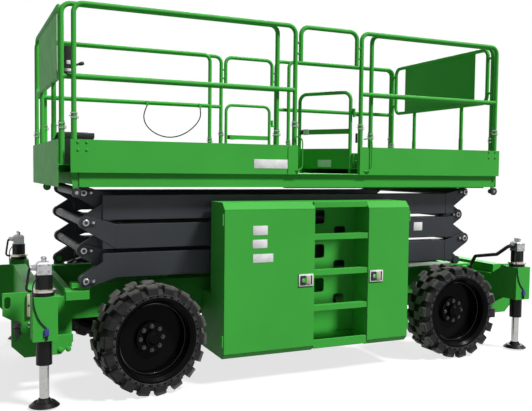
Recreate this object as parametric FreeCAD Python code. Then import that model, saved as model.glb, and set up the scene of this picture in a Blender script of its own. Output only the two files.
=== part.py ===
# Rough-terrain scissor lift: four-wheel chassis with outriggers, three-level scissor stack,
# and a railed platform with a sliding extension deck at each end.
# Millimetres. +X runs along the machine, +Z up, -Y is the side with the open gate.
# The origin is on the ground, midway between the wheels.
import FreeCAD
import Part
import math
import os

V = FreeCAD.Vector
X_AXIS = V(1, 0, 0)
Y_AXIS = V(0, 1, 0)
Z_AXIS = V(0, 0, 1)

# Wheels and axles
WHEELBASE = 2890.0
TYRE_DIAMETER = 840.0
TYRE_WIDTH = 300.0
OVERALL_WIDTH = 2300.0
RIM_DIAMETER = 610.0
RIM_DISH = 120.0
LUGS_PER_SIDE = 18
LUG_HEIGHT = 34.0
TREAD_SIDES = 2 * LUGS_PER_SIDE
AXLE_RADIUS = 75.0
KINGPIN_Y = 760.0
KINGPIN_RADIUS = 28.0
STEER_REST = 8.0
TYRE_R = TYRE_DIAMETER / 2
WHEEL_X = WHEELBASE / 2
WHEEL_Y = OVERALL_WIDTH / 2 - TYRE_WIDTH / 2

# Clearances
PIN_CLEARANCE = 0.05
SEAT_CLEARANCE = 0.3
WHEEL_GAP = 165.0

# Outriggers, beyond the wheels
OUTRIGGER_BOX = 170.0
END_BOX_START = WHEEL_X + TYRE_R + WHEEL_GAP
OUTRIGGER_X = END_BOX_START + 160.0
OUTRIGGER_Y = OVERALL_WIDTH / 2 - 90.0
OUTRIGGER_BOX_BOTTOM = 490.0
OUTRIGGER_BOX_TOP = 800.0
SLEEVE_RADIUS = 56.0
SLEEVE_BOTTOM = 310.0
ROD_RADIUS = 34.0
FOOT_RADIUS = 107.0
FOOT_THICKNESS = 26.0
FOOT_GAP = 14.0
RAM_TOP = 700.0
MOTOR_RADIUS = 58.0
MOTOR_TOP = 1040.0
MOTOR_HEAD = 90.0
MOTOR_HEAD_HALF = 48.0
COLLAR_RADIUS = 84.0
COLLAR_HEIGHT = 44.0
RING_HEIGHT = 16.0
WING_PLATE = 45.0
WING_START_TOP = 700.0
WING_SLOPE_END = OUTRIGGER_Y - 90.0
GUSSET_DROP = 90.0

# Chassis
CHASSIS_LENGTH = 2 * (OUTRIGGER_X + 200.0)
CHASSIS_BOTTOM = 300.0
CHASSIS_TOP = 796.0
RAIL_OUTER_Y = 600.0
RAIL_WIDTH = 110.0
RAIL_BOTTOM = 520.0
RAIL_END = END_BOX_START - 100.0
CROSS_MEMBER_X = 0.31 * WHEELBASE
CROSS_MEMBER_HALF = 110.0
CROSS_MEMBER_DROP = 60.0
TRACK_INNER_START = -150.0
TRACK_SHEET = 20.0
END_BOX_WIDTH = 1600.0
END_BEAM_END = OUTRIGGER_X + 72.0
END_CORE_TOP = 700.0
END_CORE_WALL = 50.0
END_CUT = 90.0
SIDE_PLATE = 20.0
SIDE_PLATE_START = END_BOX_START - 80.0
SIDE_PLATE_TOP = 600.0
SKIRT_TOP = 445.0
LUG_REACH = 60.0
LUG_TOP = 785.0
SLOT_WIDTH = 44.0
SLOT_HEIGHT = 90.0
SLOT_MIDDLE_REACH = 24.0
SLOT_MIDDLE_Z = 712.0
ARM_BEAM_TOP = 766.0
ARM_BEAM_HEIGHT = 66.0
ARM_BEAM_REACH = 150.0
# The beams under the lowest pins stay clear of a steered wheel.
ARM_BEAM_END = WHEEL_X + 380.0

# Side cabinets, as distances from the middle of the machine
LADDER_LEFT_X = -68.0
LADDER_RIGHT_X = 447.0
CABINET_OUTER_Y = OVERALL_WIDTH / 2 - 10.0
CABINET_INNER_Y = CABINET_OUTER_Y - 310.0
CABINET_LOW_INNER_Y = RAIL_OUTER_Y + 10.0
CABINET_STEP_Z = 690.0
CABINET_BOTTOM = 215.0
CABINET_TOP = 1445.0
CABINET_CHAMFER = 55.0
CABINET_SKIRT = 40.0
CABINET_WALL = 14.0
CABINET_END = WHEEL_X - TYRE_R - WHEEL_GAP
CABINET_SPANS = {"left": (-CABINET_END, LADDER_LEFT_X), "right": (LADDER_RIGHT_X, CABINET_END)}
DOOR_THICKNESS = 24.0
DOOR_GAP = 2.0
DOOR_FRAME = 20.0
DOOR_BOTTOM = CABINET_BOTTOM + CABINET_SKIRT + DOOR_GAP
DOOR_TOP = CABINET_TOP - CABINET_CHAMFER - DOOR_GAP
HINGE_RADIUS = 9.0
HINGE_STANDOFF = 1.0
HINGE_LENGTH = 90.0
LATCH_BOTTOM = 758.0
LATCH_HEIGHT = 100.0
LATCH_WIDTH = 134.0

# Heavy units behind the left doors
UNIT_GAP = 60.0
ENGINE_DEPTH = CABINET_OUTER_Y - CABINET_LOW_INNER_Y - 170.0
ENGINE_TOP = CABINET_STEP_Z - 30.0
TANK_DEPTH = ENGINE_DEPTH - 20.0
TANK_TOP = CABINET_STEP_Z - 50.0

# Ladder between the cabinets
RUNG_TOPS = (590.0, 885.0, 1180.0)
RUNG_HEIGHT = 48.0
RUNG_DEPTH = 46.0
LADDER_BACK_Y = CABINET_OUTER_Y - 240.0
LADDER_SHEET = 8.0
LADDER_CAP = 47.0
STEP_DEPTH = 220.0
STEP_BOTTOM = CABINET_BOTTOM + 15.0
STEP_HEIGHT = 70.0

# Scissor stack
PIN_LEFT_X = -(WHEEL_X + 405.0)
PIN_RIGHT_X = WHEEL_X + 330.0
PIN_BASE_Z = CHASSIS_TOP + 39.0
LEVEL_PITCH = 225.0
LEVELS = 3
BEAM_HEIGHT = 190.0
BEAM_LIFT = 20.0
BEAM_END_GAP = 130.0
OUTER_ARM_Y = 740.0
INNER_ARM_Y = 640.0
BEAM_WIDTH = 70.0
FORK_PLATE = 12.0
TONGUE_WIDTH = 34.0
LUG_OVERLAP = 100.0
LUG_PROUD = 3.0
LUG_RADIUS = 52.0
SEAT_LUG_RADIUS = 34.0
PIN_RADIUS = 25.0
CROSS_TUBE_RADIUS = 34.0
CROSS_TUBE_REACH = 420.0
CENTRE_CAP_RADIUS = 50.0
CENTRE_PIN_RADIUS = 32.0
ROLLER_RADIUS = 38.0

# Lift cylinder
CYLINDER_FOOT_REACH = 1550.0
CYLINDER_EYE_REACH = 300.0
CYLINDER_EYE_OFFSET = 110.0
BARREL_RADIUS = 62.0
CYLINDER_ROD_RADIUS = 38.0
CYLINDER_PIN_RADIUS = 22.0
EYE_RADIUS = 50.0
EYE_WIDTH = 60.0
ROD_EYE_WIDTH = 2 * CYLINDER_ROD_RADIUS + 4.0
CHEEK_THICKNESS = 14.0
CHEEK_GAP = 5.0

# Platform
DECK_LEFT_X = PIN_LEFT_X - 132.0
DECK_RIGHT_X = PIN_RIGHT_X + 291.0
DECK_HALF_WIDTH = 888.0
DECK_BOTTOM = PIN_BASE_Z + LEVELS * LEVEL_PITCH + 50.0
TOE_BOTTOM = DECK_BOTTOM + 107.0
TOE_TOP = TOE_BOTTOM + 245.0
TOE_SHEET = 6.0
TOE_OUTER_Y = DECK_HALF_WIDTH + 27.0
FLOOR_SHEET = 8.0
DECK_CHANNEL = 60.0
DECK_CHANNEL_INSET = 66.0
DECK_EAR_DEPTH = 60.0
EXTENSION_FLOOR = TOE_BOTTOM + 63.0
EXTENSION_LEFT_END = DECK_LEFT_X - 86.0
EXTENSION_RIGHT_END = DECK_RIGHT_X + 19.0
EXTENSION_HALF_WIDTH = DECK_HALF_WIDTH - 30.0

# Guard rails, as shares of their height above the deck
RAIL_TOP_Z = 2905.0
GUARD_HEIGHT = RAIL_TOP_Z - TOE_BOTTOM
RAIL_MID_Z = TOE_BOTTOM + 0.572 * GUARD_HEIGHT
RAIL_RADIUS = 19.0
SOCKET_RADIUS = 21.5
RAIL_BEND = 70.0
MAIN_RAIL_Y = DECK_HALF_WIDTH - 2.0
NESTED_RAIL_Y = EXTENSION_HALF_WIDTH - 20.0
MAIN_SOCKET_TOP = TOE_BOTTOM + 0.354 * GUARD_HEIGHT
NESTED_SOCKET_TOP = TOE_BOTTOM + 0.309 * GUARD_HEIGHT
ENTRY_LEFT_X = -143.0
ENTRY_RIGHT_X = 504.0
MAIN_LEFT_POSTS = (DECK_LEFT_X + 29.0, ENTRY_LEFT_X)
MAIN_RIGHT_POSTS = (ENTRY_RIGHT_X, DECK_RIGHT_X - 39.0)
NESTED_LEFT_POSTS = (EXTENSION_LEFT_END + 34.0, ENTRY_LEFT_X - 144.0)
NESTED_RIGHT_POSTS = (ENTRY_RIGHT_X + 136.0, EXTENSION_RIGHT_END - 62.0)
EXTENSION_LEFT_INNER = NESTED_LEFT_POSTS[1] + 27.0
EXTENSION_RIGHT_INNER = NESTED_RIGHT_POSTS[0] - 20.0
END_FRAME_HALF_WIDTH = 770.0
END_FRAME_BOTTOM = RAIL_MID_Z + 10.0
END_POST_Y = 400.0
END_SHEET_HALF_WIDTH = 590.0
END_SHEET = 4.0

# Entries
ENTRY_HOOP_POSTS = (ENTRY_LEFT_X + 51.0, ENTRY_RIGHT_X - 49.0)
ENTRY_HOOP_BOTTOM = TOE_BOTTOM + 0.77 * GUARD_HEIGHT
ENTRY_TIE_HEIGHTS = (60.0, 150.0)
GATE_HINGE_X = ENTRY_RIGHT_X - 52.0
GATE_HINGE_Y = MAIN_RAIL_Y - 24.0
GATE_LEFT_X = ENTRY_LEFT_X + 50.0
GATE_TOP = TOE_BOTTOM + 0.588 * GUARD_HEIGHT
GATE_BOTTOM = TOE_BOTTOM + 55.0
GATE_TOE_TOP = TOE_TOP - 12.0
GATE_BAR_Z = TOE_BOTTOM + 0.293 * GUARD_HEIGHT
GATE_BAR_HEIGHT = 45.0
GATE_HINGE_HEIGHTS = (GATE_BOTTOM + 78.0, GATE_TOP - 195.0)
GATE_HINGE_LENGTH = 50.0
GATE_HINGE_RADIUS = 12.0
GATE_PIN_RADIUS = 7.0
GATE_SHEET = 6.0
GATE_REST = 56.0
GATE_LEG_SETBACK = 34.0
ENTRY_PLATE = 5.0
ENTRY_PLATE_WIDTH = 93.0
ENTRY_PLATE_ROUND = 30.0

# Small items on the platform
CONTROL_BOX_SIZE = (64.0, 170.0, 190.0)
CONTROL_BOX_BOTTOM = RAIL_MID_Z + 35.0
TOOL_BOX_SIZE = (280.0, 420.0, 250.0)
TOOL_BOX_Y = -460.0

# The loose cable that hangs from two clips on the far nested mid rail.
# Its route is given as x and the distance below the rail.
CABLE_RADIUS = 6.0
CABLE_Y = NESTED_RAIL_Y - 26.0
CABLE_ROUTE = (
    (-968, 30), (-992, 83), (-1006, 147), (-988, 217), (-938, 277), (-862, 323), (-765, 349),
    (-662, 341), (-565, 303), (-482, 243), (-420, 173), (-392, 101), (-404, 30),
)
CLIP_HALF_WIDTH = 13.0

nodes = {}


# Basic shapes

def box(x, y, z):
    """A box from three (low, high) pairs."""
    low = V(min(x), min(y), min(z))
    return Part.makeBox(abs(x[1] - x[0]), abs(y[1] - y[0]), abs(z[1] - z[0]), low)


def rod(start, end, radius):
    """A round bar between two points."""
    start = V(*start)
    end = V(*end)
    return Part.makeCylinder(radius, (end - start).Length, start, end - start)


def cross_rod(place, y, radius):
    """A round bar along Y at (x, z), from the first y to the second."""
    return rod((place[0], y[0], place[1]), (place[0], y[1], place[1]), radius)


def upright_rod(place, z, radius):
    """A round bar along Z at (x, y), from the first height to the second."""
    return rod((place[0], place[1], z[0]), (place[0], place[1], z[1]), radius)


def plate(points, y):
    """A plate from (x, z) corners, between two y values."""
    wire = Part.makePolygon([V(x, y[0], z) for x, z in points + points[:1]])
    return Part.Face(wire).extrude(V(0, y[1] - y[0], 0))


def fuse(shapes):
    shapes = list(shapes)
    if len(shapes) == 1:
        return shapes[0]
    return shapes[0].multiFuse(shapes[1:]).removeSplitter()


def cut(shape, tools):
    return shape.cut(fuse(tools)).removeSplitter()


def mirror_x(shape):
    return shape.mirror(V(0, 0, 0), X_AXIS)


def mirror_y(shape):
    return shape.mirror(V(0, 0, 0), Y_AXIS)


def both_sides(shape):
    return fuse([shape, mirror_y(shape)])


def group(shapes):
    """Separate solids that share one node."""
    return Part.makeCompound([solid for shape in shapes for solid in shape.Solids])


def keep(name, shape):
    nodes[name] = shape


def bent_tube(points, radius, bend):
    """A tube along straight runs joined by arcs of the bend radius."""
    points = [V(*point) for point in points]
    edges = []
    start = points[0]
    for before, corner, after in zip(points, points[1:], points[2:]):
        inward = (before - corner).normalize()
        outward = (after - corner).normalize()
        half = inward.getAngle(outward) / 2
        setback = bend / math.tan(half)
        middle = (inward + outward).normalize() * (bend / math.sin(half) - bend)
        first = corner + inward * setback
        last = corner + outward * setback
        edges.append(Part.LineSegment(start, first).toShape())
        edges.append(Part.Arc(first, corner + middle, last).toShape())
        start = last
    edges.append(Part.LineSegment(start, points[-1]).toShape())
    wire = Part.Wire(edges)
    circle = Part.Circle(points[0], points[1] - points[0], radius)
    return wire.makePipeShell([Part.Wire(circle.toShape())], True, True)


def tangent_point(point, centre, radius, side):
    """Where a line from a point touches a circle, in the (x, z) plane."""
    dx = centre[0] - point[0]
    dz = centre[1] - point[1]
    distance = math.hypot(dx, dz)
    angle = math.atan2(dz, dx) + side * math.asin(radius / distance)
    reach = math.sqrt(distance ** 2 - radius ** 2)
    return (point[0] + reach * math.cos(angle), point[1] + reach * math.sin(angle))


def lug(low, high, centre, radius, y):
    """A plate from the two corners of a beam's end to a round nose about a pin."""
    side = 1 if centre[0] > low[0] else -1
    touch_low = tangent_point(low, centre, radius, -side)
    touch_high = tangent_point(high, centre, radius, side)
    nose = (centre[0] + side * radius, centre[1])
    places = {"low": low, "high": high, "touch_low": touch_low, "touch_high": touch_high, "nose": nose}
    corner = {name: V(x, y[0], z) for name, (x, z) in places.items()}
    wire = Part.Wire([
        Part.LineSegment(corner["high"], corner["low"]).toShape(),
        Part.LineSegment(corner["low"], corner["touch_low"]).toShape(),
        Part.Arc(corner["touch_low"], corner["nose"], corner["touch_high"]).toShape(),
        Part.LineSegment(corner["touch_high"], corner["high"]).toShape(),
    ])
    return Part.Face(wire).extrude(V(0, y[1] - y[0], 0))


# Wheels

RIM_R = RIM_DIAMETER / 2
HALF_TYRE = TYRE_WIDTH / 2
CARCASS_R = TYRE_R - LUG_HEIGHT
BEAD_Y = HALF_TYRE - 22
BEAD_RISE = 22.0
RIM_LIP = 14.0
WHEEL_BOLT_REACH = 90.0
WHEEL_BOLT_RADIUS = 11.0


def revolve_about_y(profile):
    """A solid turned about the Y axis from (radius, y) points."""
    wire = Part.makePolygon([V(r, y, 0) for r, y in profile + profile[:1]])
    return Part.Face(wire).revolve(V(0, 0, 0), Y_AXIS, 360)


def ring_of(radius, y):
    """A regular polygon about the Y axis, with one flat for each half lug pitch."""
    corners = []
    for index in range(TREAD_SIDES):
        angle = 2 * math.pi * index / TREAD_SIDES
        corners.append(V(radius * math.sin(angle), y, radius * math.cos(angle)))
    return Part.makePolygon(corners + corners[:1])


def tread_block(side, reach):
    """One lug: a middle block, a shoulder block stepped along the tread, and a cap down the sidewall."""
    inner_y = 10.0
    step_y = 78.0
    middle = (-58.0, 14.0)
    shoulder = (-14.0, 66.0)
    bevel = 10.0
    root = CARCASS_R - 30
    edge = HALF_TYRE - 8
    outline = [
        (middle[0], inner_y), (middle[1], inner_y), (middle[1], step_y - bevel),
        (shoulder[1], step_y + bevel), (shoulder[1], edge), (shoulder[0], edge),
        (shoulder[0], step_y + bevel), (middle[0], step_y - bevel)]
    wire = Part.makePolygon([V(s, side * y, root) for s, y in outline + outline[:1]])
    block = Part.Face(wire).extrude(V(0, 0, reach - root))
    cap = box(shoulder, sorted((side * edge, side * HALF_TYRE)), (CARCASS_R - 62, reach - bevel))
    return block.fuse(cap).removeSplitter()


def tyre_at_origin():
    """The outer side faces -Y."""
    side = HALF_TYRE - 4
    shoulder = 34.0
    sections = ((CARCASS_R - shoulder, -side), (CARCASS_R, shoulder - HALF_TYRE),
                (CARCASS_R, HALF_TYRE - shoulder), (CARCASS_R - shoulder, side))
    carcass = Part.makeLoft([ring_of(radius, y) for radius, y in sections], True, True)
    opening = revolve_about_y([
        (0, -side - 1), (RIM_R + BEAD_RISE, -side - 1), (RIM_R + BEAD_RISE, -side), (RIM_R, -BEAD_Y),
        (RIM_R, BEAD_Y), (RIM_R + BEAD_RISE, side), (RIM_R + BEAD_RISE, side + 1), (0, side + 1)])
    carcass = carcass.cut(opening)
    corner = 66.0
    reach = math.sqrt(TYRE_R ** 2 - corner ** 2)
    pitch = 360.0 / LUGS_PER_SIDE
    lugs = []
    for side in (-1, 1):
        block = tread_block(side, reach)
        # The ring is turned so that a lug's corner is lowest, and the tyre stands on the ground.
        phase = 180.0 - math.degrees(math.atan2(corner, reach)) + (0.0 if side < 0 else pitch / 2)
        for index in range(LUGS_PER_SIDE):
            turned = block.copy()
            turned.rotate(V(0, 0, 0), Y_AXIS, phase + index * pitch)
            lugs.append(turned)
    return carcass.multiFuse(lugs).removeSplitter()


def rim_at_origin():
    """A deep-dish rim with its disc set in from the outer side, which faces -Y."""
    outer = -HALF_TYRE + 14
    disc = outer + RIM_DISH
    seat = RIM_R - SEAT_CLEARANCE
    # The outer lip lies on the tyre's bead, which slopes outward.
    lip_y = -BEAD_Y - (HALF_TYRE - 4 - BEAD_Y) * RIM_LIP / BEAD_RISE - SEAT_CLEARANCE
    shell = revolve_about_y([
        (seat, -BEAD_Y), (seat + RIM_LIP, lip_y), (seat + RIM_LIP, lip_y - 6), (RIM_R, lip_y - 6),
        (RIM_R - 22, outer + 12), (RIM_R - 32, disc), (120, disc + 6), (120, disc - 24), (60, disc - 24),
        (60, disc + 34), (RIM_R - 30, disc + 34), (RIM_R - 14, BEAD_Y), (seat, BEAD_Y)])
    hub = Part.makeCylinder(60, 96, V(0, disc - 62, 0), Y_AXIS)
    cap = Part.makeCone(34, 46, 12, V(0, disc - 74, 0), Y_AXIS)
    bolts = []
    for index in range(8):
        angle = math.radians(45 * index)
        place = V(WHEEL_BOLT_REACH * math.cos(angle), disc - 38, WHEEL_BOLT_REACH * math.sin(angle))
        bolts.append(Part.makeCylinder(WHEEL_BOLT_RADIUS, 16, place, Y_AXIS))
    return fuse([shell, hub, cap] + bolts)


def place_wheel(shape, side_x, side_y, steer):
    """Stand a wheel at its corner of the machine."""
    placed = shape.copy()
    if side_y > 0:
        placed = mirror_y(placed)
    placed.translate(V(side_x * WHEEL_X, side_y * WHEEL_Y, TYRE_R))
    if steer:
        placed.rotate(V(side_x * WHEEL_X, side_y * KINGPIN_Y, 0), Z_AXIS, steer)
    return placed


# name, side along X, side along Y, rest steering angle
CORNERS = (
    ("left_near", -1, -1, STEER_REST),
    ("left_far", -1, 1, STEER_REST),
    ("right_near", 1, -1, 0.0),
    ("right_far", 1, 1, 0.0),
)

SPINDLE_RADIUS = 52.0
DISC_INNER_Y = WHEEL_Y - HALF_TYRE + TYRE_WIDTH - 14 - RIM_DISH - 34
FLANGE_RADIUS = 105.0


def knuckle(side_y, steer):
    """A steering knuckle: kingpin barrel, spindle and the flange that the wheel bolts to."""
    x = -WHEEL_X
    barrel = rod((x, side_y * KINGPIN_Y, TYRE_R - 66), (x, side_y * KINGPIN_Y, TYRE_R + 66), 46)
    bore = rod((x, side_y * KINGPIN_Y, TYRE_R - 80), (x, side_y * KINGPIN_Y, TYRE_R + 80),
               KINGPIN_RADIUS + PIN_CLEARANCE)
    spindle = rod((x, side_y * KINGPIN_Y, TYRE_R), (x, side_y * (DISC_INNER_Y - 20), TYRE_R), SPINDLE_RADIUS)
    flange_y = (side_y * (DISC_INNER_Y - 24), side_y * (DISC_INNER_Y - SEAT_CLEARANCE))
    flange = cross_rod((x, TYRE_R), flange_y, FLANGE_RADIUS)
    arm = box((x + 20, x + 190), sorted((side_y * (KINGPIN_Y - 24), side_y * (KINGPIN_Y + 24))),
              (TYRE_R - 60, TYRE_R - 30))
    shape = cut(fuse([barrel, spindle, flange, arm]), [bore])
    shape.rotate(V(x, side_y * KINGPIN_Y, 0), Z_AXIS, steer)
    return shape


def build_wheels():
    tyre = tyre_at_origin()
    rim = rim_at_origin()
    for name, side_x, side_y, steer in CORNERS:
        keep("tyre_" + name, place_wheel(tyre, side_x, side_y, steer))
        keep("rim_" + name, place_wheel(rim, side_x, side_y, steer))
    for name, side_x, side_y, steer in CORNERS[:2]:
        keep("knuckle_" + name, knuckle(side_y, steer))


def build_axles():
    # The steered axle ends in a fork above and below each knuckle.
    x = -WHEEL_X
    half_gap = 66 + 1.0
    beam = rod((x, -KINGPIN_Y + 110, TYRE_R), (x, KINGPIN_Y - 110, TYRE_R), AXLE_RADIUS - 15)
    ears = []
    ear_x = (x - 50, x + 50)
    ear_end = -KINGPIN_Y + 150
    reach = half_gap + 30
    for low, high in ((half_gap, reach), (-reach, -half_gap)):
        ears.append(box(ear_x, (-KINGPIN_Y - 44, ear_end), (TYRE_R + low, TYRE_R + high)))
    web = box(ear_x, (-KINGPIN_Y + 92, ear_end), (TYRE_R - reach, TYRE_R + reach))
    pin = upright_rod((x, -KINGPIN_Y), (TYRE_R - reach - 10, TYRE_R + reach + 10), KINGPIN_RADIUS)
    end = fuse(ears + [web, pin])
    pads = [axle_pad(x, side) for side in (-1, 1)]
    housing = Part.makeSphere(135, V(x, 0, TYRE_R))
    keep("steered_axle", fuse([beam, end, mirror_y(end), housing] + pads))

    x = WHEEL_X
    beam = rod((x, -DISC_INNER_Y + 24, TYRE_R), (x, DISC_INNER_Y - 24, TYRE_R), AXLE_RADIUS)
    flange = rod((x, -DISC_INNER_Y + SEAT_CLEARANCE, TYRE_R), (x, -DISC_INNER_Y + 24, TYRE_R), FLANGE_RADIUS)
    drum = rod((x, -DISC_INNER_Y + 60, TYRE_R), (x, -DISC_INNER_Y + 150, TYRE_R), 130)
    housing = Part.makeSphere(150, V(x, 0, TYRE_R))
    pads = [axle_pad(x, side) for side in (-1, 1)]
    keep("fixed_axle", fuse([beam, flange, mirror_y(flange), drum, mirror_y(drum), housing] + pads))


def axle_pad(x, side_y):
    """The saddle that bolts an axle under a chassis rail."""
    middle = side_y * (RAIL_OUTER_Y - RAIL_WIDTH / 2)
    return box((x - 90, x + 90), (middle - 45, middle + 45), (TYRE_R, RAIL_BOTTOM))


# Chassis

def rail_span():
    return (RAIL_OUTER_Y - RAIL_WIDTH, RAIL_OUTER_Y)


def build_chassis():
    low_y, high_y = rail_span()
    rail = box((-RAIL_END, RAIL_END), (low_y, high_y), (RAIL_BOTTOM, CHASSIS_TOP))
    track = box((TRACK_INNER_START, RAIL_END), (low_y, OUTER_ARM_Y - 40),
                (CHASSIS_TOP - TRACK_SHEET, CHASSIS_TOP))
    side = fuse([rail, track, cabinet_sill(), base_bracket()])
    crosses = []
    for x in (-CROSS_MEMBER_X, 0.0, CROSS_MEMBER_X):
        crosses.append(box((x - CROSS_MEMBER_HALF, x + CROSS_MEMBER_HALF), (-high_y, high_y),
                           (RAIL_BOTTOM, CHASSIS_TOP - CROSS_MEMBER_DROP)))
    keep("chassis_frame", fuse([side, mirror_y(side)] + crosses))
    end = fuse([end_core(), outrigger_carrier(), mirror_y(outrigger_carrier())])
    keep("chassis_ends", group([end, mirror_x(end)]))
    side_plate = end_side_plate()
    side_plates = [side_plate, mirror_y(side_plate)]
    keep("chassis_side_plates", group(side_plates + [mirror_x(shape) for shape in side_plates]))


def end_core():
    """The cross box at the end of the rails, open below, and the beam across the end."""
    wall = END_CORE_WALL
    half = END_BOX_WIDTH / 2 - SIDE_PLATE - SEAT_CLEARANCE
    beam_x = (OUTRIGGER_X - OUTRIGGER_BOX / 2 + WING_PLATE, END_BEAM_END)
    core = box((RAIL_END, beam_x[1]), (-RAIL_OUTER_Y, RAIL_OUTER_Y), (CHASSIS_BOTTOM, END_CORE_TOP))
    room = box((RAIL_END + wall, beam_x[0] - wall), (-RAIL_OUTER_Y + wall, RAIL_OUTER_Y - wall),
               (CHASSIS_BOTTOM - 1, END_CORE_TOP - wall))
    beam = box(beam_x, (-half, half), (CHASSIS_BOTTOM, LUG_TOP))
    # The rails end against a pad as high as they are.
    pad = box((RAIL_END, RAIL_END + wall), (-RAIL_OUTER_Y, RAIL_OUTER_Y),
              (END_CORE_TOP - 1, ARM_BEAM_TOP - 10))
    return fuse([core.cut(room), beam, pad])


def end_side_plate():
    """The plate beside an end box: cut lower corner, slotted tie-down lug, and a skirt towards the wheel."""
    half = CHASSIS_LENGTH / 2
    inner = END_BOX_WIDTH / 2 - SIDE_PLATE
    box_start = OUTRIGGER_X - OUTRIGGER_BOX / 2
    tip = half + LUG_REACH
    under_wing = OUTRIGGER_BOX_BOTTOM - SEAT_CLEARANCE
    shape = plate([
        (SIDE_PLATE_START + END_CUT, CHASSIS_BOTTOM), (half - END_CUT, CHASSIS_BOTTOM),
        (half, CHASSIS_BOTTOM + END_CUT),
        (half, SIDE_PLATE_TOP - 15), (tip, SIDE_PLATE_TOP + 20), (tip, LUG_TOP), (END_BEAM_END, LUG_TOP),
        (END_BEAM_END, SIDE_PLATE_TOP), (box_start + WING_PLATE + SEAT_CLEARANCE, SIDE_PLATE_TOP),
        (box_start + WING_PLATE + SEAT_CLEARANCE, under_wing), (box_start - SEAT_CLEARANCE, under_wing),
        (box_start - SEAT_CLEARANCE, SKIRT_TOP), (SIDE_PLATE_START, SKIRT_TOP),
        (SIDE_PLATE_START, CHASSIS_BOTTOM + END_CUT)], (inner, inner + SIDE_PLATE))
    middle = half + SLOT_MIDDLE_REACH
    radius = SLOT_WIDTH / 2
    slot_z = (SLOT_MIDDLE_Z - SLOT_HEIGHT / 2 + radius, SLOT_MIDDLE_Z + SLOT_HEIGHT / 2 - radius)
    slot = [box((middle - radius, middle + radius), (inner - 1, inner + SIDE_PLATE + 1), slot_z)]
    for z in slot_z:
        slot.append(rod((middle, inner - 1, z), (middle, inner + SIDE_PLATE + 1, z), radius))
    return cut(shape, slot)


def outrigger_carrier():
    """The wing plate from the end box to an outrigger's square housing, and the housing itself."""
    half = OUTRIGGER_BOX / 2
    outer = OUTRIGGER_Y + half
    start = OUTRIGGER_X - half
    housing = box((start, OUTRIGGER_X + half), (outer - OUTRIGGER_BOX, outer),
                  (OUTRIGGER_BOX_BOTTOM, OUTRIGGER_BOX_TOP))
    side_y = END_BOX_WIDTH / 2
    wing = extrude_profile([
        (RAIL_OUTER_Y - 1, OUTRIGGER_BOX_BOTTOM), (RAIL_OUTER_Y - 1, WING_START_TOP),
        (side_y, WING_START_TOP), (WING_SLOPE_END, OUTRIGGER_BOX_TOP),
        (outer - 1, OUTRIGGER_BOX_TOP), (outer - 1, OUTRIGGER_BOX_BOTTOM)], (start, start + WING_PLATE))
    root = side_y + SEAT_CLEARANCE
    gusset = extrude_profile([
        (root, OUTRIGGER_BOX_BOTTOM + 1), (root, OUTRIGGER_BOX_BOTTOM - GUSSET_DROP),
        (outer - OUTRIGGER_BOX, OUTRIGGER_BOX_BOTTOM + 1)], (start + 12, start + 28))
    bore = rod((OUTRIGGER_X, OUTRIGGER_Y, OUTRIGGER_BOX_BOTTOM - 5),
               (OUTRIGGER_X, OUTRIGGER_Y, OUTRIGGER_BOX_TOP + 5), ROD_RADIUS + PIN_CLEARANCE)
    return fuse([housing, wing, gusset]).cut(bore)


def cabinet_sill():
    """Brackets that carry the cabinets from the rails."""
    bars = []
    for low, high in CABINET_SPANS.values():
        for x in (low + 60, high - 140):
            bars.append(box((x, x + 80), (RAIL_OUTER_Y - 5, CABINET_LOW_INNER_Y), (600, 680)))
    return fuse(bars)


def base_bracket():
    """The beam beside a rail, and the ear on it that holds an outer arm's lowest pin."""
    width = (OUTER_ARM_Y - BEAM_WIDTH / 2 - CHEEK_GAP, OUTER_ARM_Y + BEAM_WIDTH / 2 + CHEEK_THICKNESS)
    beam_z = (ARM_BEAM_TOP - ARM_BEAM_HEIGHT, ARM_BEAM_TOP)
    beam = box((PIN_LEFT_X - ARM_BEAM_REACH, -ARM_BEAM_END), width, beam_z)
    link = box((-RAIL_END, -ARM_BEAM_END), (RAIL_OUTER_Y - 10, width[0] + 1), beam_z)
    ear = ear_plate(PIN_LEFT_X, ARM_BEAM_TOP - 1, PIN_BASE_Z, LUG_RADIUS - 6,
                    (OUTER_ARM_Y - TONGUE_WIDTH / 2, OUTER_ARM_Y + TONGUE_WIDTH / 2))
    pin = rod((PIN_LEFT_X, OUTER_ARM_Y - BEAM_WIDTH / 2 - 4, PIN_BASE_Z),
              (PIN_LEFT_X, OUTER_ARM_Y + BEAM_WIDTH / 2 + 14, PIN_BASE_Z), PIN_RADIUS)
    return fuse([beam, link, ear, pin])


def ear_plate(x, foot_z, nose_z, radius, y):
    """An upright or hanging ear with a round nose about a pin."""
    base = box((x - radius, x + radius), y, (foot_z, nose_z))
    nose = rod((x, y[0], nose_z), (x, y[1], nose_z), radius)
    return base.fuse(nose)


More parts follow.
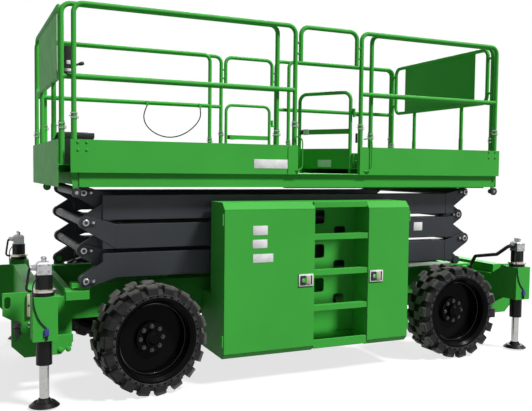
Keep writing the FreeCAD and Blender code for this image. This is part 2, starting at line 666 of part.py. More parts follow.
def outrigger_motor(x, y):
    """A base, a silver ring, an eight-sided barrel and a chamfered head block with two ports."""
    ring_z = OUTRIGGER_BOX_TOP + COLLAR_HEIGHT - RING_HEIGHT
    shoulder = OUTRIGGER_BOX_TOP + COLLAR_HEIGHT
    head_z = MOTOR_TOP - MOTOR_HEAD
    half = MOTOR_HEAD_HALF
    base = rod((x, y, OUTRIGGER_BOX_TOP), (x, y, ring_z), COLLAR_RADIUS - 10)
    ring = rod((x, y, ring_z), (x, y, shoulder), COLLAR_RADIUS)
    corners = []
    for index in range(8):
        angle = math.radians(22.5 + 45 * index)
        reach = MOTOR_RADIUS / math.cos(math.radians(22.5))
        corners.append(V(x + reach * math.cos(angle), y + reach * math.sin(angle), shoulder))
    barrel = Part.Face(Part.makePolygon(corners + corners[:1])).extrude(V(0, 0, head_z - shoulder))
    head = box((x - half, x + half), (y - half, y + half), (head_z, MOTOR_TOP))
    head = head.makeChamfer(14, [edge for edge in head.Edges if edge.BoundBox.ZMin > MOTOR_TOP - 1])
    ports = []
    for offset in (-20, 22):
        ports.append(upright_rod((x, y + offset), (MOTOR_TOP - 10, MOTOR_TOP + 22), 15))
    bore = rod((x, y, OUTRIGGER_BOX_TOP - 1), (x, y, head_z), ROD_RADIUS + PIN_CLEARANCE)
    return cut(fuse([base, ring, barrel, head] + ports), [bore])


def build_outriggers():
    motors = []
    sleeves = []
    for name, side_x, side_y, _ in CORNERS:
        x = side_x * OUTRIGGER_X
        y = side_y * OUTRIGGER_Y
        motors.append(outrigger_motor(x, y))
        sleeve = rod((x, y, SLEEVE_BOTTOM), (x, y, OUTRIGGER_BOX_BOTTOM), SLEEVE_RADIUS)
        bore = rod((x, y, SLEEVE_BOTTOM - 1), (x, y, OUTRIGGER_BOX_BOTTOM + 1), ROD_RADIUS + PIN_CLEARANCE)
        sleeves.append(sleeve.cut(bore))
        ram = rod((x, y, FOOT_GAP + FOOT_THICKNESS), (x, y, RAM_TOP), ROD_RADIUS)
        disc = Part.makeCone(FOOT_RADIUS, FOOT_RADIUS - 30, FOOT_THICKNESS, V(x, y, FOOT_GAP))
        ankle = Part.makeCone(52, 40, 26, V(x, y, FOOT_GAP + FOOT_THICKNESS))
        keep("outrigger_leg_" + name, fuse([ram, disc, ankle]))
    keep("outrigger_heads", group(motors))
    keep("outrigger_sleeves", group(sleeves))


def build_hoses():
    """The hydraulic lines between the outrigger heads and the chassis, held at both ends."""
    thick = 17.0
    thin = 9.0
    x = OUTRIGGER_X
    y = OUTRIGGER_Y
    top = MOTOR_TOP - 40
    head = MOTOR_HEAD_HALF + SEAT_CLEARANCE
    collar = COLLAR_RADIUS + SEAT_CLEARANCE
    low = OUTRIGGER_BOX_TOP + COLLAR_HEIGHT - RING_HEIGHT / 2
    lands_x = x - 110
    lands_y = RAIL_OUTER_Y - 60
    feed = bent_tube([(x - head, y, top), (x - 110, y, top), (x - 150, y - 110, top - 90),
                      (lands_x, lands_y + 60, END_CORE_TOP + 150), (lands_x, lands_y, END_CORE_TOP + 60),
                      (lands_x, lands_y, END_CORE_TOP + SEAT_CLEARANCE)], thick, 30)
    loop = bent_tube([(-x - head, y, top), (-x - 96, y, top), (-x - 120, y, low), (-x - collar, y, low)],
                     thin, 24)
    keep("outrigger_hoses", group([feed, mirror_y(feed), loop, mirror_y(loop)]))


# Cabinets, as drawn for the far (+Y) side and mirrored for the near side

def cabinet_outline():
    """The end outline of a cabinet in (y, z), with the door's seat between its two slanted edges."""
    face = CABINET_OUTER_Y
    seat = face - DOOR_THICKNESS
    return [
        (CABINET_LOW_INNER_Y, CABINET_BOTTOM), (CABINET_LOW_INNER_Y, CABINET_STEP_Z),
        (CABINET_INNER_Y, CABINET_STEP_Z), (CABINET_INNER_Y, CABINET_TOP),
        (face - CABINET_CHAMFER, CABINET_TOP), (face, CABINET_TOP - CABINET_CHAMFER),
        (seat, CABINET_TOP - CABINET_CHAMFER), (seat, CABINET_BOTTOM + CABINET_SKIRT),
        (face, CABINET_BOTTOM + CABINET_SKIRT), (face - CABINET_SKIRT, CABINET_BOTTOM)]


def cabinet_room():
    """The outline of the room inside."""
    outer = CABINET_OUTER_Y - DOOR_THICKNESS - CABINET_WALL
    inner = CABINET_INNER_Y + CABINET_WALL
    low_inner = CABINET_LOW_INNER_Y + CABINET_WALL
    bottom = CABINET_BOTTOM + CABINET_WALL
    top = CABINET_TOP - CABINET_WALL
    step = CABINET_STEP_Z - CABINET_WALL
    return [
        (low_inner, bottom), (low_inner, step), (inner, step), (inner, top), (outer - CABINET_SKIRT, top),
        (outer, top - CABINET_SKIRT), (outer, bottom + CABINET_SKIRT), (outer - CABINET_SKIRT, bottom)]


def extrude_profile(profile, x):
    wire = Part.makePolygon([V(x[0], y, z) for y, z in profile + profile[:1]])
    return Part.Face(wire).extrude(V(x[1] - x[0], 0, 0))


def door_span(name):
    """The door covers the whole front, up to a gap beside the ladder."""
    low, high = CABINET_SPANS[name]
    return (low, high - DOOR_GAP) if name == "left" else (low + DOOR_GAP, high)


def hinge_x(name):
    """The hinge line is on the end wall away from the ladder."""
    low, high = CABINET_SPANS[name]
    reach = HINGE_RADIUS + HINGE_STANDOFF
    return low - reach if name == "left" else high + reach


def hinge_heights():
    return (DOOR_BOTTOM + 60, DOOR_TOP - HINGE_LENGTH - 30)


def hinge_leaf(name, y, z, reach):
    """A leaf from the hinge line into a wall or a door."""
    x = hinge_x(name)
    inward = 1 if name == "left" else -1
    return box(sorted((x, x + inward * reach)), y, z)


def cabinet_shell(name):
    low, high = CABINET_SPANS[name]
    shell = extrude_profile(cabinet_outline(), (low, high))
    hollow = extrude_profile(cabinet_room(), (low + CABINET_WALL, high - CABINET_WALL))
    opening = box((low + DOOR_FRAME, high - DOOR_FRAME),
                  (CABINET_OUTER_Y - DOOR_THICKNESS - CABINET_WALL - 2, CABINET_OUTER_Y),
                  (DOOR_BOTTOM + DOOR_FRAME, DOOR_TOP - DOOR_FRAME))
    seat = CABINET_OUTER_Y - DOOR_THICKNESS
    hinge_y = CABINET_OUTER_Y - DOOR_THICKNESS / 2
    knuckles = []
    x = hinge_x(name)
    third = HINGE_LENGTH / 3
    leaf_y = (seat - CABINET_WALL, hinge_y - HINGE_RADIUS / 2)
    for z in hinge_heights():
        knuckles.append(hinge_leaf(name, leaf_y, (z, z + third), HINGE_RADIUS + HINGE_STANDOFF))
        knuckles.append(rod((x, hinge_y, z), (x, hinge_y, z + third), HINGE_RADIUS))
        knuckles.append(rod((x, hinge_y, z), (x, hinge_y, z + HINGE_LENGTH), HINGE_RADIUS / 2))
    return fuse([shell.cut(hollow).cut(opening)] + knuckles)


def cabinet_door(name):
    span = door_span(name)
    outer = CABINET_OUTER_Y
    inner = outer - DOOR_THICKNESS + 1.0
    panel = box(span, (inner, outer), (DOOR_BOTTOM, DOOR_TOP))
    rim = 26.0
    dish = box((span[0] + rim, span[1] - rim), (inner - 1, outer - 10), (DOOR_BOTTOM + rim, DOOR_TOP - rim))
    x = hinge_x(name)
    hinge_y = CABINET_OUTER_Y - DOOR_THICKNESS / 2
    leaves = []
    bores = []
    for z in hinge_heights():
        low = z + HINGE_LENGTH / 3 + 1
        high = z + HINGE_LENGTH
        leaves.append(hinge_leaf(name, (hinge_y - 4, hinge_y + 4), (low, high), HINGE_RADIUS + 4))
        leaves.append(rod((x, hinge_y, low), (x, hinge_y, high), HINGE_RADIUS))
        bores.append(rod((x, hinge_y, z - 1), (x, hinge_y, high + 1), HINGE_RADIUS / 2 + PIN_CLEARANCE))
    latch_start = span[1] - 12 - LATCH_WIDTH if name == "left" else span[0] + 12
    latch_x = (latch_start, latch_start + LATCH_WIDTH)
    latch = box(latch_x, (outer - 2, outer + 6), (LATCH_BOTTOM, LATCH_BOTTOM + LATCH_HEIGHT))
    grip = box((latch_x[0] + 30, latch_x[1] - 30), (outer + 4, outer + 16),
               (LATCH_BOTTOM + 32, LATCH_BOTTOM + 68))
    return cut(fuse([panel.cut(dish), latch, grip] + leaves), bores)


def build_cabinets():
    for name in CABINET_SPANS:
        shell = cabinet_shell(name)
        door = cabinet_door(name)
        keep("cabinet_far_" + name, shell)
        keep("door_far_" + name, door)
        keep("cabinet_near_" + name, mirror_y(shell))
        keep("door_near_" + name, mirror_y(door))
    low, high = CABINET_SPANS["left"]
    x = (low + 1.5 * UNIT_GAP, high - 2 * UNIT_GAP)
    inner = CABINET_LOW_INNER_Y + UNIT_GAP
    seat = CABINET_BOTTOM + CABINET_WALL + SEAT_CLEARANCE
    keep("engine_block", box(x, (inner, inner + ENGINE_DEPTH), (seat, ENGINE_TOP)))
    keep("hydraulic_tank", box(x, (-inner - TANK_DEPTH, -inner), (seat, TANK_TOP)))


# left and right edge as shares of the ladder's width, bottom above a rung's top, height
LADDER_HOLES = (
    (0.05, 0.42, 65.0, 120.0),
    (0.60, 0.82, -75.0, 115.0),
)


def ladder():
    """Rungs, cap and a back sheet with round-cornered cut-outs, for the far side."""
    low = LADDER_LEFT_X
    high = LADDER_RIGHT_X
    outer = CABINET_OUTER_Y - 6
    width = high - low
    pieces = []
    for top in RUNG_TOPS:
        pieces.append(box((low, high), (outer - RUNG_DEPTH, outer), (top - RUNG_HEIGHT, top)))
    step = box((low, high), (outer - STEP_DEPTH, outer), (STEP_BOTTOM, STEP_BOTTOM + STEP_HEIGHT))
    well = box((low + 12, high - 12), (outer - STEP_DEPTH + 10, outer - 20),
               (STEP_BOTTOM + 20, STEP_BOTTOM + STEP_HEIGHT + 10))
    pieces.append(step.cut(well))
    pieces.append(box((low, high), (CABINET_INNER_Y, outer - 20), (CABINET_TOP - LADDER_CAP, CABINET_TOP)))
    back = box((low, high), (LADDER_BACK_Y, LADDER_BACK_Y + LADDER_SHEET),
               (STEP_BOTTOM + 10, CABINET_TOP - 25))
    holes = []
    through = (LADDER_BACK_Y - 5, LADDER_BACK_Y + LADDER_SHEET + 5)
    for left, right, rise, height in LADDER_HOLES:
        for top in RUNG_TOPS:
            hole = box((low + left * width, low + right * width), through, (top + rise, top + rise + height))
            corners = [edge for edge in hole.Edges if abs(edge.tangentAt(0).y) > 0.9]
            holes.append(hole.makeFillet(24, corners))
    pieces.append(cut(back, holes))
    return fuse(pieces)


def build_ladders():
    far = ladder()
    keep("ladder_far", far)
    keep("ladder_near", mirror_y(far))


# Scissor stack

def beam_bottom(level):
    return PIN_BASE_Z + BEAM_LIFT + (level - 1) * LEVEL_PITCH


def pin_z(index):
    return PIN_BASE_Z + index * LEVEL_PITCH


def arm_ends(kind, level):
    """Start and end pins of an arm as (x, z), low end first."""
    starts_left = (kind == "outer") == (level % 2 == 1)
    start_x, end_x = (PIN_LEFT_X, PIN_RIGHT_X) if starts_left else (PIN_RIGHT_X, PIN_LEFT_X)
    return (start_x, pin_z(level - 1)), (end_x, pin_z(level))


def arm_side(kind, level, middle_y):
    """One side of an arm pair: beam, tongue at its low end and fork at its high end."""
    start, end = arm_ends(kind, level)
    low_z = beam_bottom(level)
    high_z = low_z + BEAM_HEIGHT
    half = BEAM_WIDTH / 2
    beam_x = (PIN_LEFT_X + BEAM_END_GAP, PIN_RIGHT_X - BEAM_END_GAP)
    tongue_y = ((middle_y - TONGUE_WIDTH / 2, middle_y + TONGUE_WIDTH / 2),)
    fork_y = ((middle_y - half, middle_y - half + FORK_PLATE),
              (middle_y + half - FORK_PLATE, middle_y + half + LUG_PROUD))
    # The lowest outer arm straddles an ear of the chassis.
    start_y = fork_y if kind == "outer" and level == 1 else tongue_y
    # Noses next to the chassis or the deck are smaller than a roller.
    start_radius = SEAT_LUG_RADIUS if kind == "inner" and level == 1 else LUG_RADIUS
    end_radius = SEAT_LUG_RADIUS if kind == "outer" and level == LEVELS else LUG_RADIUS
    pieces = [box(beam_x, (middle_y - half, middle_y + half), (low_z, high_z))]
    for pin, plates, radius in ((start, start_y, start_radius), (end, fork_y, end_radius)):
        x = beam_x[0] + LUG_OVERLAP if pin[0] == PIN_LEFT_X else beam_x[1] - LUG_OVERLAP
        for y in plates:
            pieces.append(lug((x, low_z), (x, high_z), pin, radius, y))
    return fuse(pieces)


def arm_pair(kind, level):
    middle_y = OUTER_ARM_Y if kind == "outer" else INNER_ARM_Y
    half = BEAM_WIDTH / 2
    start, end = arm_ends(kind, level)
    side = arm_side(kind, level, middle_y)
    centre = ((PIN_LEFT_X + PIN_RIGHT_X) / 2, (start[1] + end[1]) / 2)
    bore_y = (middle_y - half - 1, middle_y + half + LUG_PROUD + 1)
    bore = cross_rod(start, bore_y, PIN_RADIUS + PIN_CLEARANCE)
    cuts = []
    # The lowest inner arm carries its own rollers, so its tongue isn't bored.
    if not (kind == "inner" and level == 1):
        cuts.append(bore)
    if kind == "inner":
        cuts.append(cross_rod(centre, (middle_y - half - 1, middle_y + half + 1),
                              CENTRE_PIN_RADIUS + PIN_CLEARANCE))
    if cuts:
        side = cut(side, cuts)
    pieces = [side, mirror_y(side)]
    reach = middle_y + half
    # The pin at the high end runs right across as a tube between the two sides.
    for sign in (-1, 1):
        pieces.append(cross_rod(end, (sign * (middle_y - half), sign * (reach + 14)), PIN_RADIUS))
    pieces.append(cross_rod(end, (-middle_y + half, middle_y - half), CROSS_TUBE_RADIUS))
    if kind == "outer":
        for sign in (-1, 1):
            pin_y = (sign * (INNER_ARM_Y - half - 12), sign * (middle_y - half + 5))
            pieces.append(cross_rod(centre, pin_y, CENTRE_PIN_RADIUS))
            pieces.append(cross_rod(centre, (sign * reach, sign * (reach + 8)), CENTRE_CAP_RADIUS))
    if kind == "inner":
        pieces.extend(inner_cross_tubes(level))
    if kind == "inner" and level == 1:
        pieces.extend(roller_pair(start, middle_y))
    if kind == "outer" and level == LEVELS:
        pieces.extend(roller_pair(end, middle_y))
    return fuse(pieces)


def roller_pair(pin, middle_y):
    """Rollers at both sides of the machine, on the pin of an arm that slides."""
    rollers = []
    half = BEAM_WIDTH / 2
    for sign in (-1, 1):
        rollers.append(cross_rod(pin, (sign * (middle_y - half), sign * (middle_y + half)), ROLLER_RADIUS))
    return rollers


def inner_cross_tubes(level):
    """Tubes between the two sides of an inner arm pair, away from its pins."""
    reach = INNER_ARM_Y - BEAM_WIDTH / 2 + 2
    if level == 1:
        return cylinder_foot_mount(reach)
    if level == 2:
        return cylinder_eye_mount(reach)
    start, end = arm_ends("inner", level)
    step = 1 if end[0] > start[0] else -1
    place = (start[0] + step * CROSS_TUBE_REACH, beam_bottom(level) + BEAM_HEIGHT / 2)
    return [cross_rod(place, (-reach, reach), CROSS_TUBE_RADIUS)]


def cylinder_foot_mount(reach):
    """A tube to each side arm, and between the two cheeks a pin for the barrel's foot."""
    foot = cylinder_foot()
    room = box((foot[0] - 80, foot[0] + 80),
               (-EYE_WIDTH / 2 - CHEEK_THICKNESS, EYE_WIDTH / 2 + CHEEK_THICKNESS),
               (foot[1] - 80, foot[1] + 80))
    tube = cut(cross_rod(foot, (-reach, reach), CYLINDER_PIN_RADIUS + 8), [room])
    pieces = [tube, cross_rod(foot, (-EYE_WIDTH, EYE_WIDTH), CYLINDER_PIN_RADIUS)]
    start = EYE_WIDTH / 2 + 2
    for sign in (-1, 1):
        pieces.append(cross_rod(foot, (sign * start, sign * (start + CHEEK_THICKNESS)), EYE_RADIUS - 4))
    return pieces


def cylinder_eye_mount(reach):
    """The open pivot: two stub tubes with cheeks, between which the rod's eye can drift."""
    eye = cylinder_eye()
    inner = ROD_EYE_WIDTH / 2 + CHEEK_GAP
    pieces = []
    for sign in (-1, 1):
        pieces.append(cross_rod(eye, (sign * reach, sign * inner), CYLINDER_PIN_RADIUS + 16))
        pieces.append(cross_rod(eye, (sign * inner, sign * (inner + CHEEK_THICKNESS)), EYE_RADIUS))
    return pieces


def along(start, end, reach, offset):
    """A point at a distance along a pin line and an offset above it."""
    dx = end[0] - start[0]
    dz = end[1] - start[1]
    length = math.hypot(dx, dz)
    up = 1 if dx > 0 else -1
    return (start[0] + reach * dx / length - up * offset * dz / length,
            start[1] + reach * dz / length + up * offset * dx / length)


def cylinder_foot():
    start, end = arm_ends("inner", 1)
    return along(start, end, CYLINDER_FOOT_REACH, 0.0)


def cylinder_eye():
    start, end = arm_ends("inner", 2)
    return along(start, end, CYLINDER_EYE_REACH, CYLINDER_EYE_OFFSET)


def build_cylinder():
    foot = cylinder_foot()
    eye = cylinder_eye()
    length = math.hypot(eye[0] - foot[0], eye[1] - foot[1])
    angle = math.degrees(math.atan2(eye[1] - foot[1], eye[0] - foot[0]))
    barrel_length = length - 150
    foot_eye = rod((0, -EYE_WIDTH / 2, 0), (0, EYE_WIDTH / 2, 0), EYE_RADIUS)
    tube = rod((30, 0, 0), (barrel_length, 0, 0), BARREL_RADIUS)
    collar = rod((barrel_length - 60, 0, 0), (barrel_length, 0, 0), BARREL_RADIUS + 10)
    bore = rod((90, 0, 0), (barrel_length + 1, 0, 0), CYLINDER_ROD_RADIUS + PIN_CLEARANCE)
    pin_bore = rod((0, -EYE_WIDTH, 0), (0, EYE_WIDTH, 0), CYLINDER_PIN_RADIUS + PIN_CLEARANCE)
    # The tube is cut back round the foot's pin so that only the eye reaches it.
    eye_space = box((-81, 63), (-EYE_WIDTH / 2, EYE_WIDTH / 2), (-91, 91))
    gap = cut(box((-80, 62), (-90, 90), (-90, 90)), [eye_space])
    barrel = cut(fuse([foot_eye, tube, collar]), [bore, pin_bore, gap])
    ram = rod((100, 0, 0), (length - EYE_RADIUS + 8, 0, 0), CYLINDER_ROD_RADIUS)
    head = rod((length, -ROD_EYE_WIDTH / 2, 0), (length, ROD_EYE_WIDTH / 2, 0), EYE_RADIUS)
    # The eye keeps its own short pin, so it can leave the arm's cheeks sideways on.
    pin_reach = ROD_EYE_WIDTH / 2 + 2
    pin = rod((length, -pin_reach, 0), (length, pin_reach, 0), CYLINDER_PIN_RADIUS)
    ram = fuse([ram, head, pin])
    for name, shape in (("lift_barrel", barrel), ("lift_rod", ram)):
        shape.rotate(V(0, 0, 0), Y_AXIS, -angle)
        shape.translate(V(foot[0], 0, foot[1]))
        keep(name, shape)


def build_scissor():
    for level in range(1, LEVELS + 1):
        for kind in ("outer", "inner"):
            keep("{}_arm_{}".format(kind, level), arm_pair(kind, level))


# Platform

def toe_board(x, y_sign):
    y = sorted((y_sign * (TOE_OUTER_Y - TOE_SHEET), y_sign * TOE_OUTER_Y))
    return box(x, y, (TOE_BOTTOM, TOE_TOP))


def build_platform():
    half = DECK_HALF_WIDTH
    inset = DECK_CHANNEL_INSET
    channel = box((DECK_LEFT_X + inset, DECK_RIGHT_X - inset), (half - DECK_CHANNEL, half),
                  (DECK_BOTTOM, TOE_BOTTOM))
    hollow = box((DECK_LEFT_X + inset - 10, DECK_RIGHT_X - inset + 10), (half - DECK_CHANNEL - 1, half - 8),
                 (DECK_BOTTOM + 8, TOE_BOTTOM - 8))
    lip = box((DECK_LEFT_X, DECK_RIGHT_X), (half - 4, TOE_OUTER_Y), (TOE_BOTTOM, TOE_BOTTOM + 8))
    boards = []
    for span in ((DECK_LEFT_X, ENTRY_LEFT_X - 20), (ENTRY_RIGHT_X + 20, DECK_RIGHT_X)):
        boards.append(toe_board(span, 1))
    floor = box((DECK_LEFT_X, DECK_RIGHT_X), (0, half), (TOE_BOTTOM, TOE_BOTTOM + FLOOR_SHEET))
    pieces = [channel.cut(hollow), lip, floor] + boards + entry_plates() + deck_ears()
    keep("platform_deck", both_sides(fuse(pieces)))


def entry_plates():
    """Round-cornered plates over the toe boards' ends, beside the entry."""
    plates = []
    for post, outward in ((ENTRY_LEFT_X, -1), (ENTRY_RIGHT_X, 1)):
        inner = post - outward * 20
        shape = box(sorted((inner, inner + outward * ENTRY_PLATE_WIDTH)),
                    (TOE_OUTER_Y - 1, TOE_OUTER_Y + ENTRY_PLATE), (TOE_BOTTOM, TOE_TOP))
        corners = [edge for edge in shape.Edges
                   if abs(edge.tangentAt(0).y) > 0.9 and edge.BoundBox.ZMin > TOE_TOP - 1
                   and outward * (edge.BoundBox.Center.x - post) > 0]
        plates.append(shape.makeFillet(ENTRY_PLATE_ROUND, corners))
    return plates


def deck_ears():
    """Tapered ears under the deck's corners, each with a boss for a support roller."""
    ears = []
    y = (DECK_HALF_WIDTH - 22, DECK_HALF_WIDTH - 8)
    for end, outward in ((DECK_LEFT_X, -1), (DECK_RIGHT_X, 1)):
        x = [end - outward * reach for reach in (6.0, DECK_CHANNEL_INSET - 8, DECK_CHANNEL_INSET - 8, 30.0)]
        z = [TOE_BOTTOM + 1, TOE_BOTTOM + 1, DECK_BOTTOM - DECK_EAR_DEPTH, DECK_BOTTOM - DECK_EAR_DEPTH]
        ears.append(plate(list(zip(x, z)), y))
        boss_x = end - outward * 44
        boss_z = DECK_BOTTOM - DECK_EAR_DEPTH + 18
        ears.append(rod((boss_x, y[0] - 24, boss_z), (boss_x, y[1] + 6, boss_z), 22))
    return ears


def build_platform_frame():
    """Joists and beams under the floor, tracks over the top rollers, and ears for the last arm's pin."""
    half = DECK_HALF_WIDTH
    top = TOE_BOTTOM - SEAT_CLEARANCE
    joist_end = half - DECK_CHANNEL - SEAT_CLEARANCE
    middle = (DECK_LEFT_X + DECK_RIGHT_X) / 2
    bay = (DECK_RIGHT_X - DECK_LEFT_X - 200) / 4
    joists = []
    for step in range(-2, 3):
        x = middle + step * bay
        joists.append(box((x - 30, x + 30), (0, joist_end), (DECK_BOTTOM + 12, top)))
    track_z = pin_z(LEVELS) + ROLLER_RADIUS + SEAT_CLEARANCE
    track = box((TRACK_INNER_START, DECK_RIGHT_X - 70), (OUTER_ARM_Y - 45, OUTER_ARM_Y + 45), (track_z, top))
    ear = ear_plate(PIN_LEFT_X, DECK_BOTTOM + 13, pin_z(LEVELS), LUG_RADIUS - 6,
                    (INNER_ARM_Y - TONGUE_WIDTH / 2, INNER_ARM_Y + TONGUE_WIDTH / 2))
    ear = cut(ear, [rod((PIN_LEFT_X, 0, pin_z(LEVELS)), (PIN_LEFT_X, half, pin_z(LEVELS)),
                        PIN_RADIUS + PIN_CLEARANCE)])
    beam = box((DECK_LEFT_X + 70, DECK_RIGHT_X - 70), (INNER_ARM_Y - 40, INNER_ARM_Y + 40),
               (DECK_BOTTOM + 12, top))
    keep("platform_frame", both_sides(fuse([ear, track, beam] + joists)))


def socket(x, y, top, bottom):
    return rod((x, y, bottom), (x, y, top), SOCKET_RADIUS)


def hoop(posts, y, bottom):
    """An inverted U of tube with a mid rail."""
    shape = bent_tube([(posts[0], y, bottom), (posts[0], y, RAIL_TOP_Z), (posts[1], y, RAIL_TOP_Z),
                       (posts[1], y, bottom)], RAIL_RADIUS, RAIL_BEND)
    middle = rod((posts[0], y, RAIL_MID_Z), (posts[1], y, RAIL_MID_Z), RAIL_RADIUS)
    return shape.fuse(middle)


def beside_post(shape, posts, y):
    """Cut a neighbour back from upright tubes that it is bolted to."""
    clear = RAIL_RADIUS + SEAT_CLEARANCE
    return cut(shape, [rod((x, y, TOE_BOTTOM), (x, y, RAIL_TOP_Z), clear) for x in posts])


def railing(posts, y, socket_top, bottom):
    pieces = [hoop(posts, y, socket_top - 30)]
    for x in posts:
        pieces.append(socket(x, y, socket_top, bottom))
    return fuse(pieces)


def entry_hoop(y):
    """The fixed upper hoop over an entry, bolted to the posts beside it."""
    low, high = ENTRY_HOOP_POSTS
    shape = bent_tube([(low, y, ENTRY_HOOP_BOTTOM), (low, y, RAIL_TOP_Z), (high, y, RAIL_TOP_Z),
                       (high, y, ENTRY_HOOP_BOTTOM)], RAIL_RADIUS, RAIL_BEND)
    ties = []
    for rise in ENTRY_TIE_HEIGHTS:
        z = ENTRY_HOOP_BOTTOM + rise
        ties.append(rod((MAIN_LEFT_POSTS[1], y, z), (low, y, z), 10))
        ties.append(rod((high, y, z), (MAIN_RIGHT_POSTS[0], y, z), 10))
    return beside_post(fuse([shape] + ties), (MAIN_LEFT_POSTS[1], MAIN_RIGHT_POSTS[0]), y)


def build_rails():
    base = TOE_BOTTOM + FLOOR_SHEET
    left = railing(MAIN_LEFT_POSTS, MAIN_RAIL_Y, MAIN_SOCKET_TOP, base)
    right = railing(MAIN_RIGHT_POSTS, MAIN_RAIL_Y, MAIN_SOCKET_TOP, base)
    over = entry_hoop(MAIN_RAIL_Y)
    hinged = fuse([right] + gate_hinges())
    keep("main_rails_far", group([left, hinged]))
    keep("main_rails_near", group([mirror_y(left), mirror_y(hinged)]))
    keep("entry_hoops", group([over, mirror_y(over)]))


def end_frame(x):
    """A closed frame with round corners, a sheet panel and two posts."""
    half = END_FRAME_HALF_WIDTH
    arch = bent_tube([(x, 0, RAIL_TOP_Z), (x, half, RAIL_TOP_Z), (x, half, END_FRAME_BOTTOM),
                      (x, 0, END_FRAME_BOTTOM)], RAIL_RADIUS, RAIL_BEND)
    post = rod((x, END_POST_Y, EXTENSION_FLOOR), (x, END_POST_Y, END_FRAME_BOTTOM), RAIL_RADIUS)
    foot = rod((x, END_POST_Y, EXTENSION_FLOOR), (x, END_POST_Y, NESTED_SOCKET_TOP), SOCKET_RADIUS)
    ties = []
    for z in (END_FRAME_BOTTOM + 90, RAIL_TOP_Z - 90):
        ties.append(rod((x, half, z), (x, NESTED_RAIL_Y, z), 11))
    half_side = beside_post(fuse([arch, post, foot] + ties), (x,), NESTED_RAIL_Y)
    sheet = box((x - END_SHEET / 2, x + END_SHEET / 2), (-END_SHEET_HALF_WIDTH, END_SHEET_HALF_WIDTH),
                (END_FRAME_BOTTOM + 6, RAIL_TOP_Z - 6))
    return fuse([half_side, mirror_y(half_side), sheet])


# name, posts, outer end, inner end of the floor, outward direction
EXTENSIONS = (
    ("left", NESTED_LEFT_POSTS, EXTENSION_LEFT_END, EXTENSION_LEFT_INNER, -1),
    ("right", NESTED_RIGHT_POSTS, EXTENSION_RIGHT_END, EXTENSION_RIGHT_INNER, 1),
)


def build_extensions():
    for name, posts, end, inner, outward in EXTENSIONS:
        half = EXTENSION_HALF_WIDTH
        floor_x = sorted((end, inner))
        floor = box(floor_x, (-half, half), (EXTENSION_FLOOR - FLOOR_SHEET, EXTENSION_FLOOR))
        face = box(sorted((end, end - outward * 8)), (-half, half), (DECK_BOTTOM, TOE_TOP))
        runners = []
        for sign in (-1, 1):
            runners.append(box((floor_x[0] + 10, floor_x[1] - 10), (sign * 500 - 20, sign * 500 + 20),
                               (TOE_BOTTOM + FLOOR_SHEET + SEAT_CLEARANCE, EXTENSION_FLOOR - FLOOR_SHEET)))
        keep(name + "_extension_deck", fuse([floor, face] + runners))
        frame_x = posts[0] if outward < 0 else posts[1]
        side = railing(posts, NESTED_RAIL_Y, NESTED_SOCKET_TOP, EXTENSION_FLOOR)
        far_side = fuse([side] + cable_clips()) if outward < 0 else side
        keep(name + "_extension_rails", group([far_side, mirror_y(side)]))
        keep(name + "_end_frame", end_frame(frame_x))


def gate(y_sign, opening):
    """A gate hoop with a toe plate, hinged at its right post and opening inward."""
    hinge_y = y_sign * GATE_HINGE_Y
    right = GATE_HINGE_X - GATE_LEG_SETBACK
    left = GATE_LEFT_X
    frame = bent_tube([(left, hinge_y, GATE_BOTTOM), (left, hinge_y, GATE_TOP), (right, hinge_y, GATE_TOP),
                       (right, hinge_y, GATE_BOTTOM)], RAIL_RADIUS - 3, RAIL_BEND)
    middle = box((left, right), (hinge_y - 3, hinge_y + 3), (GATE_BAR_Z, GATE_BAR_Z + GATE_BAR_HEIGHT))
    toe = box((left, right), (hinge_y - GATE_SHEET / 2, hinge_y + GATE_SHEET / 2),
              (GATE_BOTTOM, GATE_TOE_TOP))
    leaves = []
    bores = []
    for z in GATE_HINGE_HEIGHTS:
        top = z + GATE_HINGE_LENGTH
        leaves.append(box((right, GATE_HINGE_X), (hinge_y - 5, hinge_y + 5), (z, top)))
        leaves.append(rod((GATE_HINGE_X, hinge_y, z), (GATE_HINGE_X, hinge_y, top), GATE_HINGE_RADIUS))
        bores.append(rod((GATE_HINGE_X, hinge_y, z - 1), (GATE_HINGE_X, hinge_y, top + 1),
                         GATE_PIN_RADIUS + PIN_CLEARANCE))
    shape = cut(fuse([frame, middle, toe] + leaves), bores)
    if opening:
        shape.rotate(V(GATE_HINGE_X, hinge_y, 0), Z_AXIS, y_sign * opening)
    return shape


def gate_hinges():
    """Pins for the gate on the right entry post, for the far side."""
    post_x = MAIN_RIGHT_POSTS[0]
    hinge = (GATE_HINGE_X, GATE_HINGE_Y)
    pieces = []
    for z in GATE_HINGE_HEIGHTS:
        seat = z - GATE_HINGE_RADIUS
        pieces.append(upright_rod(hinge, (seat, z + GATE_HINGE_LENGTH), GATE_PIN_RADIUS))
        pieces.append(upright_rod(hinge, (seat - GATE_HINGE_RADIUS, z - 1), GATE_HINGE_RADIUS))
        pieces.append(rod((GATE_HINGE_X, GATE_HINGE_Y, seat), (post_x, MAIN_RAIL_Y, seat), GATE_PIN_RADIUS))
    return pieces


def build_gates():
    keep("gate_near", gate(-1, GATE_REST))
    keep("gate_far", gate(1, 0.0))


def cable_points():
    return [V(x, CABLE_Y, RAIL_MID_Z - drop) for x, drop in CABLE_ROUTE]


